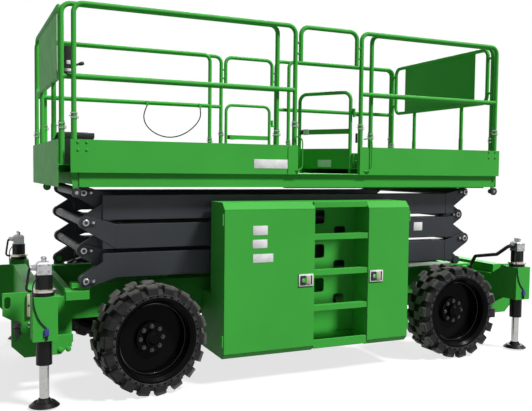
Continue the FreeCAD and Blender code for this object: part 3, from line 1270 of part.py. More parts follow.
def soft_tube(points, radius):
    """A tube whose arcs are as large as the runs beside each point allow."""
    edges = []
    start = points[0]
    for before, corner, after in zip(points, points[1:], points[2:]):
        inward = before - corner
        outward = after - corner
        shorter = min(inward.Length, outward.Length)
        turn = math.pi - inward.getAngle(outward)
        bend = 0.45 * shorter / math.tan(turn / 2)
        inward.normalize()
        outward.normalize()
        first = corner + inward * 0.45 * shorter
        last = corner + outward * 0.45 * shorter
        half = (math.pi - turn) / 2
        middle = corner + (inward + outward).normalize() * (bend / math.sin(half) - bend)
        edges.append(Part.LineSegment(start, first).toShape())
        edges.append(Part.Arc(first, middle, last).toShape())
        start = last
    edges.append(Part.LineSegment(start, points[-1]).toShape())
    wire = Part.Wire(edges)
    circle = Part.Circle(points[0], points[1] - points[0], radius)
    return wire.makePipeShell([Part.Wire(circle.toShape())], True, True)


def cable_clips():
    """Clips on the nested mid rail that hold the two ends of the cable."""
    clips = []
    clip_y = (CABLE_Y - 9, NESTED_RAIL_Y - RAIL_RADIUS + 4)
    for x, drop in (CABLE_ROUTE[0], CABLE_ROUTE[-1]):
        clips.append(box((x - CLIP_HALF_WIDTH, x + CLIP_HALF_WIDTH), clip_y,
                         (RAIL_MID_Z - drop, RAIL_MID_Z + 10)))
    return clips


def build_cable():
    keep("rail_cable", soft_tube(cable_points(), CABLE_RADIUS))


def build_platform_items():
    width, depth, height = CONTROL_BOX_SIZE
    x = NESTED_LEFT_POSTS[0] + RAIL_RADIUS + SEAT_CLEARANCE
    y = -NESTED_RAIL_Y + 28
    case = box((x, x + width), (y, y + depth), (CONTROL_BOX_BOTTOM, CONTROL_BOX_BOTTOM + height))
    keep("control_box", case)
    width, depth, height = TOOL_BOX_SIZE
    x = NESTED_LEFT_POSTS[0] + SOCKET_RADIUS + SEAT_CLEARANCE
    case = box((x, x + width), (TOOL_BOX_Y, TOOL_BOX_Y + depth), (EXTENSION_FLOOR, EXTENSION_FLOOR + height))
    keep("tool_box", case)


def main():
    os.makedirs("parts", exist_ok=True)
    build_wheels()
    build_axles()
    build_chassis()
    build_outriggers()
    build_hoses()
    build_cabinets()
    build_ladders()
    build_scissor()
    build_cylinder()
    build_platform()
    build_platform_frame()
    build_rails()
    build_extensions()
    build_gates()
    build_cable()
    build_platform_items()
    for name, shape in nodes.items():
        shape.exportStep("parts/" + name + ".step")


main()
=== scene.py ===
# Looks for the rough-terrain scissor lift: materials, small parts, light and camera.
# Metres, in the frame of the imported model: +X along the machine, +Z up, -Y the side with the open gate.
import math

import bmesh
import bpy
from mathutils import Matrix, Vector


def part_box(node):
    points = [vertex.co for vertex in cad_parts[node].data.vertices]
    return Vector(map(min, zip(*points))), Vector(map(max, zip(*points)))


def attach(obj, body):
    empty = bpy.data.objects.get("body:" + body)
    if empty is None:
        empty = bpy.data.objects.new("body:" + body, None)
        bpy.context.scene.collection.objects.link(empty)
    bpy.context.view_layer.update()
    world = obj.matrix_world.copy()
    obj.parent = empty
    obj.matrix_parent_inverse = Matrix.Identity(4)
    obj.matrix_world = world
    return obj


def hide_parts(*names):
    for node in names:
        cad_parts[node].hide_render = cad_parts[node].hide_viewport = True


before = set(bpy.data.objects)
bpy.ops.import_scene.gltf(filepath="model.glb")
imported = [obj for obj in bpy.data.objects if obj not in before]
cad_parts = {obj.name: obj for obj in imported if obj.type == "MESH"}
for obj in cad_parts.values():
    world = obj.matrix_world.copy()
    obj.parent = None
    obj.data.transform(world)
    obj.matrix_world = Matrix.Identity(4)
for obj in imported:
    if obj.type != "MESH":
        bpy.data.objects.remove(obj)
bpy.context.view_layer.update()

# The camera, fitted to the photograph
CAMERA_PLACE = (-2.749, -6.1, 1.701)
CAMERA_YAW = 24.265
CAMERA_PITCH = -2.938
CAMERA_ROLL = 0.638
FOCAL_PIXELS = 688.936
PHOTO_WIDTH = 532
SENSOR = 36.0

# Colours, as linear values
GREEN = (0.052, 0.380, 0.050)
GREEN_DEEP = (0.047, 0.350, 0.045)
SLATE = (0.021, 0.025, 0.030)
SLATE_DEEP = (0.016, 0.019, 0.023)
BLACK = (0.006, 0.006, 0.007)
RUBBER = (0.006, 0.006, 0.0065)
RUBBER_DUST = (0.016, 0.016, 0.015)
# Lighter grey of the lugs' tops: wear, and partly a painted highlight of the sun's glints on them.
TREAD_WEAR_AND_SHEEN = (0.120, 0.117, 0.110)
STEEL = (0.36, 0.365, 0.375)
LABEL = (0.80, 0.79, 0.80)
BLACK_METAL = (0.005, 0.005, 0.006)
RING_STEEL = (0.55, 0.52, 0.45)
HEAD_STEEL = (0.44, 0.44, 0.45)
RAM_STEEL = (0.46, 0.46, 0.45)


# Materials

# Values between which most of a noise texture lies
NOISE_SPAN = (0.3, 0.7)
# Radii between which a lug turns from dusty to its lighter top colour, as shares of the tyre's radius. The
# lighter top stands for wear and partly is a painted highlight of the glints on the lugs.
LUG_SPAN = (0.92, 0.985)


def new_material(name):
    material = bpy.data.materials.new(name)
    material.use_nodes = True
    nodes = material.node_tree.nodes
    return material, nodes, material.node_tree.links, nodes["Principled BSDF"]


def noise_at(nodes, links, scale, detail=2.0, stretch=(1.0, 1.0, 1.0)):
    """Noise in the part's own coordinates."""
    place = nodes.new("ShaderNodeTexCoord")
    mapping = nodes.new("ShaderNodeMapping")
    mapping.inputs["Scale"].default_value = stretch
    noise = nodes.new("ShaderNodeTexNoise")
    noise.inputs["Scale"].default_value = scale
    noise.inputs["Detail"].default_value = detail
    links.new(place.outputs["Object"], mapping.inputs["Vector"])
    links.new(mapping.outputs["Vector"], noise.inputs["Vector"])
    return noise


def ramp(nodes, links, source, low, high, dark, light):
    """A two-colour ramp between two values of the source."""
    node = nodes.new("ShaderNodeValToRGB")
    node.color_ramp.elements[0].position = low
    node.color_ramp.elements[1].position = high
    node.color_ramp.elements[0].color = (*dark, 1.0)
    node.color_ramp.elements[1].color = (*light, 1.0)
    links.new(source, node.inputs["Fac"])
    return node


def map_range(nodes, links, source, low, high):
    """Noise mapped to a roughness between two values."""
    node = nodes.new("ShaderNodeMapRange")
    node.inputs["From Min"].default_value = NOISE_SPAN[0]
    node.inputs["From Max"].default_value = NOISE_SPAN[1]
    node.inputs["To Min"].default_value = low
    node.inputs["To Max"].default_value = high
    links.new(source, node.inputs["Value"])
    return node.outputs["Result"]


def bump(nodes, links, source, strength, distance, bsdf, normal=None):
    """Relief on the surface, from the height that the source gives."""
    node = nodes.new("ShaderNodeBump")
    node.inputs["Strength"].default_value = strength
    node.inputs["Distance"].default_value = distance
    links.new(source, node.inputs["Height"])
    if normal is not None:
        links.new(normal, node.inputs["Normal"])
    links.new(node.outputs["Normal"], bsdf.inputs["Normal"])


def darker(colour, share):
    """The colour with each channel multiplied by the share."""
    return tuple(share * value for value in colour)


def painted(name, colour, deep, roughness=(0.48, 0.58), shine=0.12, edge=0.004):
    """Sprayed paint: slight shade changes, fine orange peel and softened edges."""
    material, nodes, links, bsdf = new_material(name)
    clouds = noise_at(nodes, links, 1.7, 4.0)
    shade = ramp(nodes, links, clouds.outputs["Fac"], 0.35, 0.65, deep, colour)
    links.new(shade.outputs["Color"], bsdf.inputs["Base Color"])
    smear = noise_at(nodes, links, 9.0, 5.0)
    links.new(map_range(nodes, links, smear.outputs["Fac"], *roughness), bsdf.inputs["Roughness"])
    peel = noise_at(nodes, links, 420.0, 1.0)
    rounded = nodes.new("ShaderNodeBevel")
    rounded.samples = 4
    rounded.inputs["Radius"].default_value = edge
    bump(nodes, links, peel.outputs["Fac"], 0.04, 0.0004, bsdf, rounded.outputs["Normal"])
    bsdf.inputs["Specular IOR Level"].default_value = shine
    return material


def lug_top_wear_and_sheen(nodes, links):
    """1 on the lugs' tops and 0 from their roots inward, by the distance from the wheel's axis. It lays the
    lighter top colour, wear with a painted highlight, onto the lugs.

    Generated coordinates run from 0 to 1 over the tyre. Centred and doubled, they give it a radius of 1.
    """
    place = nodes.new("ShaderNodeTexCoord")
    centred = nodes.new("ShaderNodeVectorMath")
    centred.operation = "SUBTRACT"
    centred.inputs[1].default_value = (0.5, 0.5, 0.5)
    links.new(place.outputs["Generated"], centred.inputs[0])
    flat = nodes.new("ShaderNodeVectorMath")
    flat.operation = "MULTIPLY"
    flat.inputs[1].default_value = (2.0, 0.0, 2.0)
    links.new(centred.outputs["Vector"], flat.inputs[0])
    reach = nodes.new("ShaderNodeVectorMath")
    reach.operation = "LENGTH"
    links.new(flat.outputs["Vector"], reach.inputs[0])
    lug_tops = nodes.new("ShaderNodeMapRange")
    lug_tops.interpolation_type = "SMOOTHSTEP"
    lug_tops.inputs["From Min"].default_value = LUG_SPAN[0]
    lug_tops.inputs["From Max"].default_value = LUG_SPAN[1]
    links.new(reach.outputs["Value"], lug_tops.inputs["Value"])
    return lug_tops.outputs["Result"]


def rubber(name, dust, lug_wear_and_sheen=None):
    """Moulded rubber with fine grain and grey dust, and where one is given a lighter colour on the lugs'
    tops, which stands for wear and partly is a painted highlight.
    """
    material, nodes, links, bsdf = new_material(name)
    patches = noise_at(nodes, links, 26.0, 5.0)
    shade = ramp(nodes, links, patches.outputs["Fac"], 0.42, 0.75, RUBBER, dust)
    colour = shade.outputs["Color"]
    if lug_wear_and_sheen is not None:
        # The lugs' tops get a lighter colour: wear, and a painted highlight.
        lug_top_colour = ramp(nodes, links, patches.outputs["Fac"], 0.35, 0.65, darker(lug_wear_and_sheen, 0.6), lug_wear_and_sheen)
        both = nodes.new("ShaderNodeMix")
        both.data_type = "RGBA"
        links.new(lug_top_wear_and_sheen(nodes, links), both.inputs["Factor"])
        links.new(colour, both.inputs["A"])
        links.new(lug_top_colour.outputs["Color"], both.inputs["B"])
        colour = both.outputs["Result"]
    links.new(colour, bsdf.inputs["Base Color"])
    links.new(map_range(nodes, links, patches.outputs["Fac"], 0.5, 0.75), bsdf.inputs["Roughness"])
    bsdf.inputs["Specular IOR Level"].default_value = 0.2
    grain = noise_at(nodes, links, 700.0, 3.0)
    bump(nodes, links, grain.outputs["Fac"], 0.25, 0.0008, bsdf)
    return material


def metal(name, colour, roughness, stretch=(1.0, 1.0, 1.0)):
    """Bare metal with a drawn or ground grain."""
    material, nodes, links, bsdf = new_material(name)
    grain = noise_at(nodes, links, 90.0, 4.0, stretch)
    shade = ramp(nodes, links, grain.outputs["Fac"], *NOISE_SPAN, darker(colour, 0.8), colour)
    links.new(shade.outputs["Color"], bsdf.inputs["Base Color"])
    links.new(map_range(nodes, links, grain.outputs["Fac"], *roughness), bsdf.inputs["Roughness"])
    bump(nodes, links, grain.outputs["Fac"], 0.08, 0.0004, bsdf)
    bsdf.inputs["Metallic"].default_value = 1.0
    return material


def moulded(name, colour, roughness=(0.38, 0.5), shine=0.35):
    """Moulded plastic with a fine spark texture."""
    material, nodes, links, bsdf = new_material(name)
    patches = noise_at(nodes, links, 14.0, 4.0)
    shade = ramp(nodes, links, patches.outputs["Fac"], 0.35, 0.7, darker(colour, 0.8), colour)
    links.new(shade.outputs["Color"], bsdf.inputs["Base Color"])
    links.new(map_range(nodes, links, patches.outputs["Fac"], *roughness), bsdf.inputs["Roughness"])
    spark = noise_at(nodes, links, 900.0, 2.0)
    bump(nodes, links, spark.outputs["Fac"], 0.15, 0.0005, bsdf)
    bsdf.inputs["Specular IOR Level"].default_value = shine
    return material


def banded(name, bands, top):
    """Metal whose finish changes with the height. Bands are (start, colour, metallic, roughness)."""
    material, nodes, links, bsdf = new_material(name)
    place = nodes.new("ShaderNodeTexCoord")
    split = nodes.new("ShaderNodeSeparateXYZ")
    links.new(place.outputs["Object"], split.inputs["Vector"])
    share = nodes.new("ShaderNodeMath")
    share.operation = "DIVIDE"
    share.inputs[1].default_value = top
    links.new(split.outputs["Z"], share.inputs[0])
    grain = noise_at(nodes, links, 60.0, 4.0)
    fine = nodes.new("ShaderNodeMapRange")
    fine.inputs["To Min"].default_value = 0.75
    fine.inputs["To Max"].default_value = 1.2
    links.new(grain.outputs["Fac"], fine.inputs["Value"])
    for socket, column in (("Base Color", 1), ("Metallic", 2), ("Roughness", 3)):
        steps = nodes.new("ShaderNodeValToRGB")
        steps.color_ramp.interpolation = "CONSTANT"
        while len(steps.color_ramp.elements) < len(bands):
            steps.color_ramp.elements.new(0.5)
        for element, band in zip(steps.color_ramp.elements, bands):
            element.position = band[0] / top
            value = band[column]
            element.color = (*value, 1.0) if column == 1 else (value, value, value, 1.0)
        links.new(share.outputs["Value"], steps.inputs["Fac"])
        if socket == "Metallic":
            links.new(steps.outputs["Color"], bsdf.inputs[socket])
            continue
        speckled = nodes.new("ShaderNodeVectorMath")
        speckled.operation = "SCALE"
        links.new(steps.outputs["Color"], speckled.inputs[0])
        links.new(fine.outputs["Result"], speckled.inputs["Scale"])
        links.new(speckled.outputs["Vector"], bsdf.inputs[socket])
    bump(nodes, links, grain.outputs["Fac"], 0.08, 0.0005, bsdf)
    bsdf.inputs["Specular IOR Level"].default_value = 0.2
    return material


GREEN_PAINT = painted("green_paint", GREEN, GREEN_DEEP)
ARM_PAINT = painted("arm_paint", SLATE, SLATE_DEEP, (0.45, 0.58), 0.35)
BLACK_PAINT = painted("black_paint", BLACK, (0.004, 0.004, 0.004), (0.3, 0.42), 0.15)
TYRE_RUBBER = rubber("tyre_rubber", RUBBER_DUST, TREAD_WEAR_AND_SHEEN)
BAND_RUBBER = rubber("sidewall_rubber", (0.065, 0.063, 0.060))
HOSE_RUBBER = rubber("hose_rubber", (0.03, 0.03, 0.03))
CHROME = metal("chrome_rod", (0.72, 0.73, 0.75), (0.10, 0.22), (1.0, 1.0, 0.05))
ZINC = metal("zinc_steel", STEEL, (0.28, 0.45))
CAST = painted("cast_iron", (0.05, 0.05, 0.05), (0.03, 0.03, 0.03), (0.6, 0.8), 0.2)
PLASTIC = moulded("black_plastic", (0.015, 0.015, 0.016))
WHITE_LABEL = moulded("white_label", LABEL, (0.35, 0.45))
BEIGE_PLASTIC = moulded("beige_plastic", (0.52, 0.47, 0.36))
BLUE_PLASTIC = moulded("blue_plastic", (0.05, 0.04, 0.30))
RED_PLASTIC = moulded("red_plastic", (0.45, 0.02, 0.02))
GREY_PAINT = painted("grey_paint", (0.10, 0.10, 0.11), (0.08, 0.08, 0.085), (0.4, 0.5), 0.3)
DISC_PAINT = painted("disc_paint", (0.003, 0.003, 0.0035), (0.002, 0.002, 0.002), (0.18, 0.26), 0.04)
LIP_PAINT = painted("lip_paint", BLACK, (0.004, 0.004, 0.004), (0.12, 0.18), 0.7)
# Matt black for the discs in the sidewall's holes: painted shade that stands for the depth of each hole.
HOLE_PAINTED_SHADE = moulded("hole_painted_shade", (0.003, 0.003, 0.003), (0.8, 0.95), 0.0)
BANDS_TOP = 1.2
HEAD_FINISH = banded("outrigger_head", (
    (0.0, BLACK_METAL, 0.0, 0.4), (0.828, RING_STEEL, 1.0, 0.3),
    (0.844, BLACK_METAL, 0.0, 0.4), (0.950, HEAD_STEEL, 1.0, 0.42)), BANDS_TOP)
LEG_FINISH = banded("outrigger_leg", (
    (0.0, BLACK_METAL, 0.0, 0.35), (0.068, RAM_STEEL, 1.0, 0.24)), BANDS_TOP)

# start of a node's name, material. All other nodes are green.
NODE_FINISHES = (
    ("tyre_", TYRE_RUBBER),
    ("rim_", DISC_PAINT),
    ("knuckle_", BLACK_PAINT),
    ("steered_axle", BLACK_PAINT),
    ("fixed_axle", BLACK_PAINT),
    ("outrigger_heads", HEAD_FINISH),
    ("outrigger_sleeves", BLACK_PAINT),
    ("outrigger_hoses", HOSE_RUBBER),
    ("outrigger_leg", LEG_FINISH),
    ("engine_block", CAST),
    ("hydraulic_tank", BLACK_PAINT),
    ("outer_arm", ARM_PAINT),
    ("inner_arm", ARM_PAINT),
    ("lift_barrel", BLACK_PAINT),
    ("lift_rod", CHROME),
    ("rail_cable", HOSE_RUBBER),
    ("control_box", PLASTIC),
    ("tool_box", PLASTIC),
)


def finish_of(node):
    for start, material in NODE_FINISHES:
        if node.startswith(start):
            return material
    return GREEN_PAINT


for node_name, node_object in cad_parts.items():
    node_object.data.materials.clear()
    node_object.data.materials.append(finish_of(node_name))


# The loose cable on the far side rail, along the same points as its solid

CABLE_Y = 0.812
RAIL_MID_Z = 2.3751
CABLE_RADIUS = 0.006
# x, distance below the rail
CABLE_ROUTE = (
    (-0.968, 0.030), (-0.992, 0.083), (-1.006, 0.147), (-0.988, 0.217), (-0.938, 0.277),
    (-0.862, 0.323), (-0.765, 0.349), (-0.662, 0.341), (-0.565, 0.303), (-0.482, 0.243),
    (-0.420, 0.173), (-0.392, 0.101), (-0.404, 0.030),
)


def build_cable():
    curve = bpy.data.curves.new("rail_cable_line", "CURVE")
    curve.dimensions = "3D"
    spline = curve.splines.new("NURBS")
    spline.points.add(len(CABLE_ROUTE) - 1)
    for point, (x, drop) in zip(spline.points, CABLE_ROUTE):
        point.co = (x, CABLE_Y, RAIL_MID_Z - drop, 1.0)
    spline.order_u = 3
    spline.use_endpoint_u = True
    spline.resolution_u = 12
    curve.bevel_depth = CABLE_RADIUS
    curve.bevel_resolution = 4
    curve.use_fill_caps = True
    curve.materials.append(HOSE_RUBBER)
    line = bpy.data.objects.new("rail_cable_line", curve)
    bpy.context.scene.collection.objects.link(line)
    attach(line, "left_extension")
    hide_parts("rail_cable")


# Small parts

SIDES = (-1, 1)
SIDE_NAMES = (("near", -1), ("far", 1))
UP = (0.0, 0.0, 1.0)
DOWN = (0.0, 0.0, -1.0)
# Points that a tube gets between two points of its line
TUBE_STEPS = 6
# Edges with a sharper turn than this, in degrees, aren't shaded smooth
SHARP_ANGLE = 35.0


def facing(side):
    """The outward direction of a side of the machine."""
    return (0.0, float(side), 0.0)


def aimed(centre, axis, spin=0.0):
    """A placement whose Z axis points along the axis."""
    turn = Vector(axis).to_track_quat("Z", "Y").to_matrix().to_4x4()
    return Matrix.Translation(centre) @ turn @ Matrix.Rotation(spin, 4, "Z")


def drum(radius, height):
    """The profile of a plain round boss."""
    return ((0.0, 0.0), (radius, 0.0), (radius, height), (0.0, height))


class Build:
    """One mesh made of simple closed forms, each with one of its materials."""

    def __init__(self, *materials):
        self.mesh = bmesh.new()
        self.materials = materials
        self.current = 0

    def use(self, material):
        self.current = self.materials.index(material)

    def face(self, corners):
        face = self.mesh.faces.new(corners)
        face.material_index = self.current
        face.smooth = True

    def turned(self, centre, axis, profile, sides=24, closed=False, spin=0.0):
        """A form turned about the axis, from (radius, height) pairs. A closed loop of them gives a ring."""
        place = aimed(centre, axis, spin)
        rings = []
        for radius, height in profile:
            count = sides if radius > 0.0 else 1
            ring = []
            for index in range(count):
                angle = 2 * math.pi * index / sides
                corner = Vector((radius * math.cos(angle), radius * math.sin(angle), height))
                ring.append(self.mesh.verts.new(place @ corner))
            rings.append(ring)
        pairs = list(zip(rings, rings[1:]))
        if closed:
            pairs.append((rings[-1], rings[0]))
        for below, above in pairs:
            for index in range(sides):
                after = (index + 1) % sides
                if len(below) == 1:
                    self.face((below[0], above[after], above[index]))
                elif len(above) == 1:
                    self.face((below[index], below[after], above[0]))
                else:
                    self.face((below[index], below[after], above[after], above[index]))

    def block(self, low, high, bevel=0.0, place=None):
        """A box between two corners, with rounded edges."""
        made = bmesh.ops.create_cube(self.mesh, size=1.0)["verts"]
        middle = (Vector(low) + Vector(high)) / 2
        size = Vector([abs(b - a) for a, b in zip(low, high)])
        move = Matrix.Translation(middle) @ Matrix.Diagonal((*size, 1.0))
        if place is not None:
            move = place @ move
        bmesh.ops.transform(self.mesh, matrix=move, verts=made)
        faces = {face for vertex in made for face in vertex.link_faces}
        for face in faces:
            face.material_index = self.current
            face.smooth = True
        if bevel:
            edges = list(dict.fromkeys(edge for vertex in made for edge in vertex.link_edges))
            done = bmesh.ops.bevel(self.mesh, geom=edges, offset=bevel, segments=2, profile=0.5,
                                   affect="EDGES")
            for face in done["faces"]:
                face.material_index = self.current
                face.smooth = True

    def tube(self, points, radius, sides=10):
        """A bar along a smooth line through the points."""
        points = [Vector(point) for point in points]
        line = []
        ends = [2 * points[0] - points[1]] + points + [2 * points[-1] - points[-2]]
        for before, first, second, after in zip(ends, ends[1:], ends[2:], ends[3:]):
            for step in range(TUBE_STEPS):
                t = step / TUBE_STEPS
                line.append(0.5 * (2 * first + (second - before) * t
                                   + (2 * before - 5 * first + 4 * second - after) * t * t
                                   + (3 * first - before - 3 * second + after) * t * t * t))
        line.append(points[-1])
        normal = (line[1] - line[0]).orthogonal().normalized()
        rings = []
        for index, point in enumerate(line):
            along = (line[min(index + 1, len(line) - 1)] - line[max(index - 1, 0)]).normalized()
            normal = (normal - along * normal.dot(along)).normalized()
            other = along.cross(normal)
            ring = []
            for turn in range(sides):
                angle = 2 * math.pi * turn / sides
                spoke = normal * math.cos(angle) + other * math.sin(angle)
                ring.append(self.mesh.verts.new(point + radius * spoke))
            rings.append(ring)
        for below, above in zip(rings, rings[1:]):
            for index in range(sides):
                after = (index + 1) % sides
                self.face((below[index], below[after], above[after], above[index]))
        self.face(rings[0][::-1])
        self.face(rings[-1])

    def bolt(self, centre, axis, radius, spin=0.3):
        """A hexagon head with a chamfer, on a washer that sits on the surface."""
        sunk = -0.3 * radius
        self.turned(centre, axis, ((0.0, sunk), (1.5 * radius, sunk), (1.5 * radius, 0.18 * radius),
                                   (1.4 * radius, 0.26 * radius), (0.0, 0.26 * radius)), 18)
        self.turned(centre, axis, ((0.0, 0.2 * radius), (radius, 0.2 * radius), (radius, 0.78 * radius),
                                   (0.86 * radius, 0.92 * radius), (0.0, 0.92 * radius)), 6, spin=spin)

    def piece(self, name, body):
        """The mesh as a piece of the scene that moves with the body."""
        bmesh.ops.recalc_face_normals(self.mesh, faces=self.mesh.faces)
        mesh = bpy.data.meshes.new(name)
        self.mesh.to_mesh(mesh)
        self.mesh.free()
        mesh.set_sharp_from_angle(angle=math.radians(SHARP_ANGLE))
        for material in self.materials:
            mesh.materials.append(material)
        made = bpy.data.objects.new(name, mesh)
        bpy.context.scene.collection.objects.link(made)
        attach(made, body)


# Pins of the scissor arms

OUTER_PIN_END = 0.789
INNER_PIN_END = 0.689
ARM_PIN_LEFT = -1.850
ARM_PIN_RIGHT = 1.775
# body, x, height, distance of the pin's end from the middle, side on which the keeper plate lies
ARM_PINS = (
    ("chassis", ARM_PIN_LEFT, 0.835, OUTER_PIN_END, 1),
    ("outer_arm_1", ARM_PIN_RIGHT, 1.060, OUTER_PIN_END, -1),
    ("outer_arm_2", ARM_PIN_LEFT, 1.285, OUTER_PIN_END, 1),
    ("outer_arm_3", ARM_PIN_RIGHT, 1.510, OUTER_PIN_END, -1),
    ("inner_arm_1", ARM_PIN_LEFT, 1.060, INNER_PIN_END, 1),
    ("inner_arm_2", ARM_PIN_RIGHT, 1.285, INNER_PIN_END, -1),
    ("inner_arm_3", ARM_PIN_LEFT, 1.510, INNER_PIN_END, 1),
)
PIN_CAP = (
    (0.0, 0.0), (0.025, 0.0), (0.025, 0.004), (0.022, 0.006), (0.014, 0.006), (0.012, 0.003), (0.0, 0.003))
PIN_MIDDLE = ((0.0, 0.0), (0.0125, 0.0), (0.0115, 0.003), (0.0, 0.003))
KEEPER_BOLT_OFFSET = 0.056
KEEPER_SPAN = (0.018, 0.074)
KEEPER_HALF_HEIGHT = 0.014
KEEPER_HALF_THICKNESS = 0.003


def build_arm_pins():
    """A cap on each pin's end, held by a keeper plate with a bolt through its boss."""
    for body, x, height, reach, way in ARM_PINS:
        made = Build(ZINC, ARM_PAINT)
        bolt_x = x + way * KEEPER_BOLT_OFFSET
        ends = sorted(x + way * offset for offset in KEEPER_SPAN)
        for side in SIDES:
            out = facing(side)
            made.use(ZINC)
            made.turned((x, side * (reach - 0.002), height), out, PIN_CAP, 28)
            made.bolt((bolt_x, side * (reach + 0.002), height), out, 0.007)
            made.turned((bolt_x, side * (reach - 0.013), height), out, drum(0.012, 0.014), 16)
            made.use(ARM_PAINT)
            made.turned((x, side * reach, height), out, PIN_MIDDLE, 20)
            made.block((ends[0], side * (reach - KEEPER_HALF_THICKNESS), height - KEEPER_HALF_HEIGHT),
                       (ends[1], side * (reach + KEEPER_HALF_THICKNESS), height + KEEPER_HALF_HEIGHT), 0.002)
        made.piece("arm_pins_{}_{}".format(body, "left" if x < 0 else "right"), body)


# Blank plates where the photograph has labels

# name, body, middle x, middle height, face, width, height
LABELS = (
    ("label_toe_board", "platform", -0.3685, 1.7525, -0.915, 0.309, 0.075),
    ("label_door_upper", "door_near_left", -0.558, 1.225, -1.140, 0.126, 0.074),
    ("label_door_middle", "door_near_left", -0.561, 1.118, -1.140, 0.126, 0.068),
    ("label_door_lower", "door_near_left", -0.5325, 1.004, -1.140, 0.175, 0.068),
    ("label_arm", "outer_arm_2", 1.228, 1.1875, -0.775, 0.096, 0.079),
)
RIVET = ((0.0, 0.0), (0.0026, 0.0), (0.0018, 0.0013), (0.0, 0.0016))
RIVET_INSET = 0.007


def build_labels():
    for name, body, x, height, face, width, tall in LABELS:
        made = Build(WHITE_LABEL, ZINC)
        made.block((x - width / 2, face - 0.0016, height - tall / 2),
                   (x + width / 2, face + 0.001, height + tall / 2), 0.0007)
        made.use(ZINC)
        for across in (-1, 1):
            for up in (-1, 1):
                place = (x + across * (width / 2 - RIVET_INSET), face - 0.0012,
                         height + up * (tall / 2 - RIVET_INSET))
                made.turned(place, facing(-1), RIVET, 10)
        made.piece(name, body)


# Door latches

# door, left edge of the latch plate
LATCHES = (("left", -0.216), ("right", 0.461))
LATCH_WIDTH = 0.134
LATCH_SPAN = (0.758, 0.858)
LATCH_FACE = 1.146
LATCH_HALF_THICKNESS = 0.003
# material, start and end from the plate's left edge, margin above and below, distance it stands out, bevel
LATCH_PARTS = (
    (PLASTIC, 0.012, 0.062, 0.012, 0.008, 0.006),
    (BEIGE_PLASTIC, 0.064, 0.108, 0.014, 0.011, 0.007),
    (PLASTIC, 0.110, 0.122, 0.012, 0.005, 0.002),
)
LOCK = (
    (0.0, 0.0), (0.011, 0.0), (0.011, 0.005), (0.009, 0.007), (0.004, 0.007), (0.004, 0.003), (0.0, 0.003))
LOCK_OFFSET = 0.036


def build_latches():
    """A plate with a grip, a paddle and a catch on each door, and a lock in the grip."""
    low, high = LATCH_SPAN
    for side_name, side in SIDE_NAMES:
        face = side * LATCH_FACE
        for end, left in LATCHES:
            made = Build(WHITE_LABEL, PLASTIC, BEIGE_PLASTIC, ZINC)
            made.block((left, face - side * LATCH_HALF_THICKNESS, low),
                       (left + LATCH_WIDTH, face + side * LATCH_HALF_THICKNESS, high), 0.003)
            for material, start, stop, margin, proud, bevel in LATCH_PARTS:
                made.use(material)
                made.block((left + start, face, low + margin),
                           (left + stop, face + side * proud, high - margin), bevel)
            made.use(ZINC)
            made.turned((left + LOCK_OFFSET, face + side * 0.006, (low + high) / 2), facing(side), LOCK, 20)
            made.piece("latch_{}_{}".format(side_name, end), "door_{}_{}".format(side_name, end))


# Bolts

TOE_FACE = 0.915
TOE_BOLT_RADIUS = 0.0075
# x and heights of the bolts at the toe boards' ends
TOE_BOLTS = (((-1.928, -1.864), (1.835, 1.892)), ((1.937, 2.014), (1.843, 1.899)))
SIDE_PLATE_FACE = 0.800
SIDE_PLATE_BOLT_RADIUS = 0.014
# distance from the middle and height of the bolts on the chassis' side plates
SIDE_PLATE_BOLTS = ((2.045, 0.335), (1.985, 0.335), (2.252, 0.607), (2.320, 0.470))


def build_bolts():
    made = Build(GREEN_PAINT)
    for side in SIDES:
        for columns, rows in TOE_BOLTS:
            for x in columns:
                for height in rows:
                    made.bolt((x, side * TOE_FACE, height), facing(side), TOE_BOLT_RADIUS)
    made.piece("toe_board_bolts", "platform")
    made = Build(GREEN_PAINT)
    for side in SIDES:
        for end in SIDES:
            for x, height in SIDE_PLATE_BOLTS:
                made.bolt((end * x, side * SIDE_PLATE_FACE, height), facing(side), SIDE_PLATE_BOLT_RADIUS)
    made.piece("side_plate_bolts", "chassis")


# Wheels

# name, side along X, side along Y, steering angle in degrees
WHEELS = (
    ("left_near", -1, -1, 8.0), ("left_far", -1, 1, 8.0),
    ("right_near", 1, -1, 0.0), ("right_far", 1, 1, 0.0),
)
WHEEL_X = 1.445
WHEEL_Y = 1.000
WHEEL_HEIGHT = 0.420
KINGPIN_Y = 0.760
# The rim's outer and inner lip, as closed loops
RIM_LIPS = (
    ((0.303, 0.128), (0.319, 0.132), (0.321, 0.139), (0.314, 0.143), (0.305, 0.140)),
    ((0.262, 0.060), (0.272, 0.062), (0.274, 0.069), (0.264, 0.071)),
)
NUTS = 8
NUT_REACH = 0.090
NUT_SEAT = 0.046
# The flat band on the sidewall between the rim and the lugs, as a closed loop
BAND_FACE = 0.1525
SIDEWALL_BAND = (
    (0.3225, 0.1445), (0.3480, 0.1445), (0.3480, 0.1505),
    (0.3455, BAND_FACE), (0.3250, BAND_FACE), (0.3225, 0.1505))
HOLES = 36
HOLE_REACH = 0.3355
HOLE_RADIUS = 0.0078
# The raised edge of a hole, as a closed loop, and the flat black disc in it, painted shade that stands for
# the hole's depth
HOLE_EDGE = (
    (HOLE_RADIUS, 0.0), (HOLE_RADIUS + 0.0035, 0.0), (HOLE_RADIUS + 0.0020, 0.0022), (HOLE_RADIUS, 0.0018))
HOLE_SHADE_DISC = ((0.0, 0.0), (HOLE_RADIUS, 0.0), (HOLE_RADIUS, 0.0010), (0.0, 0.0008))


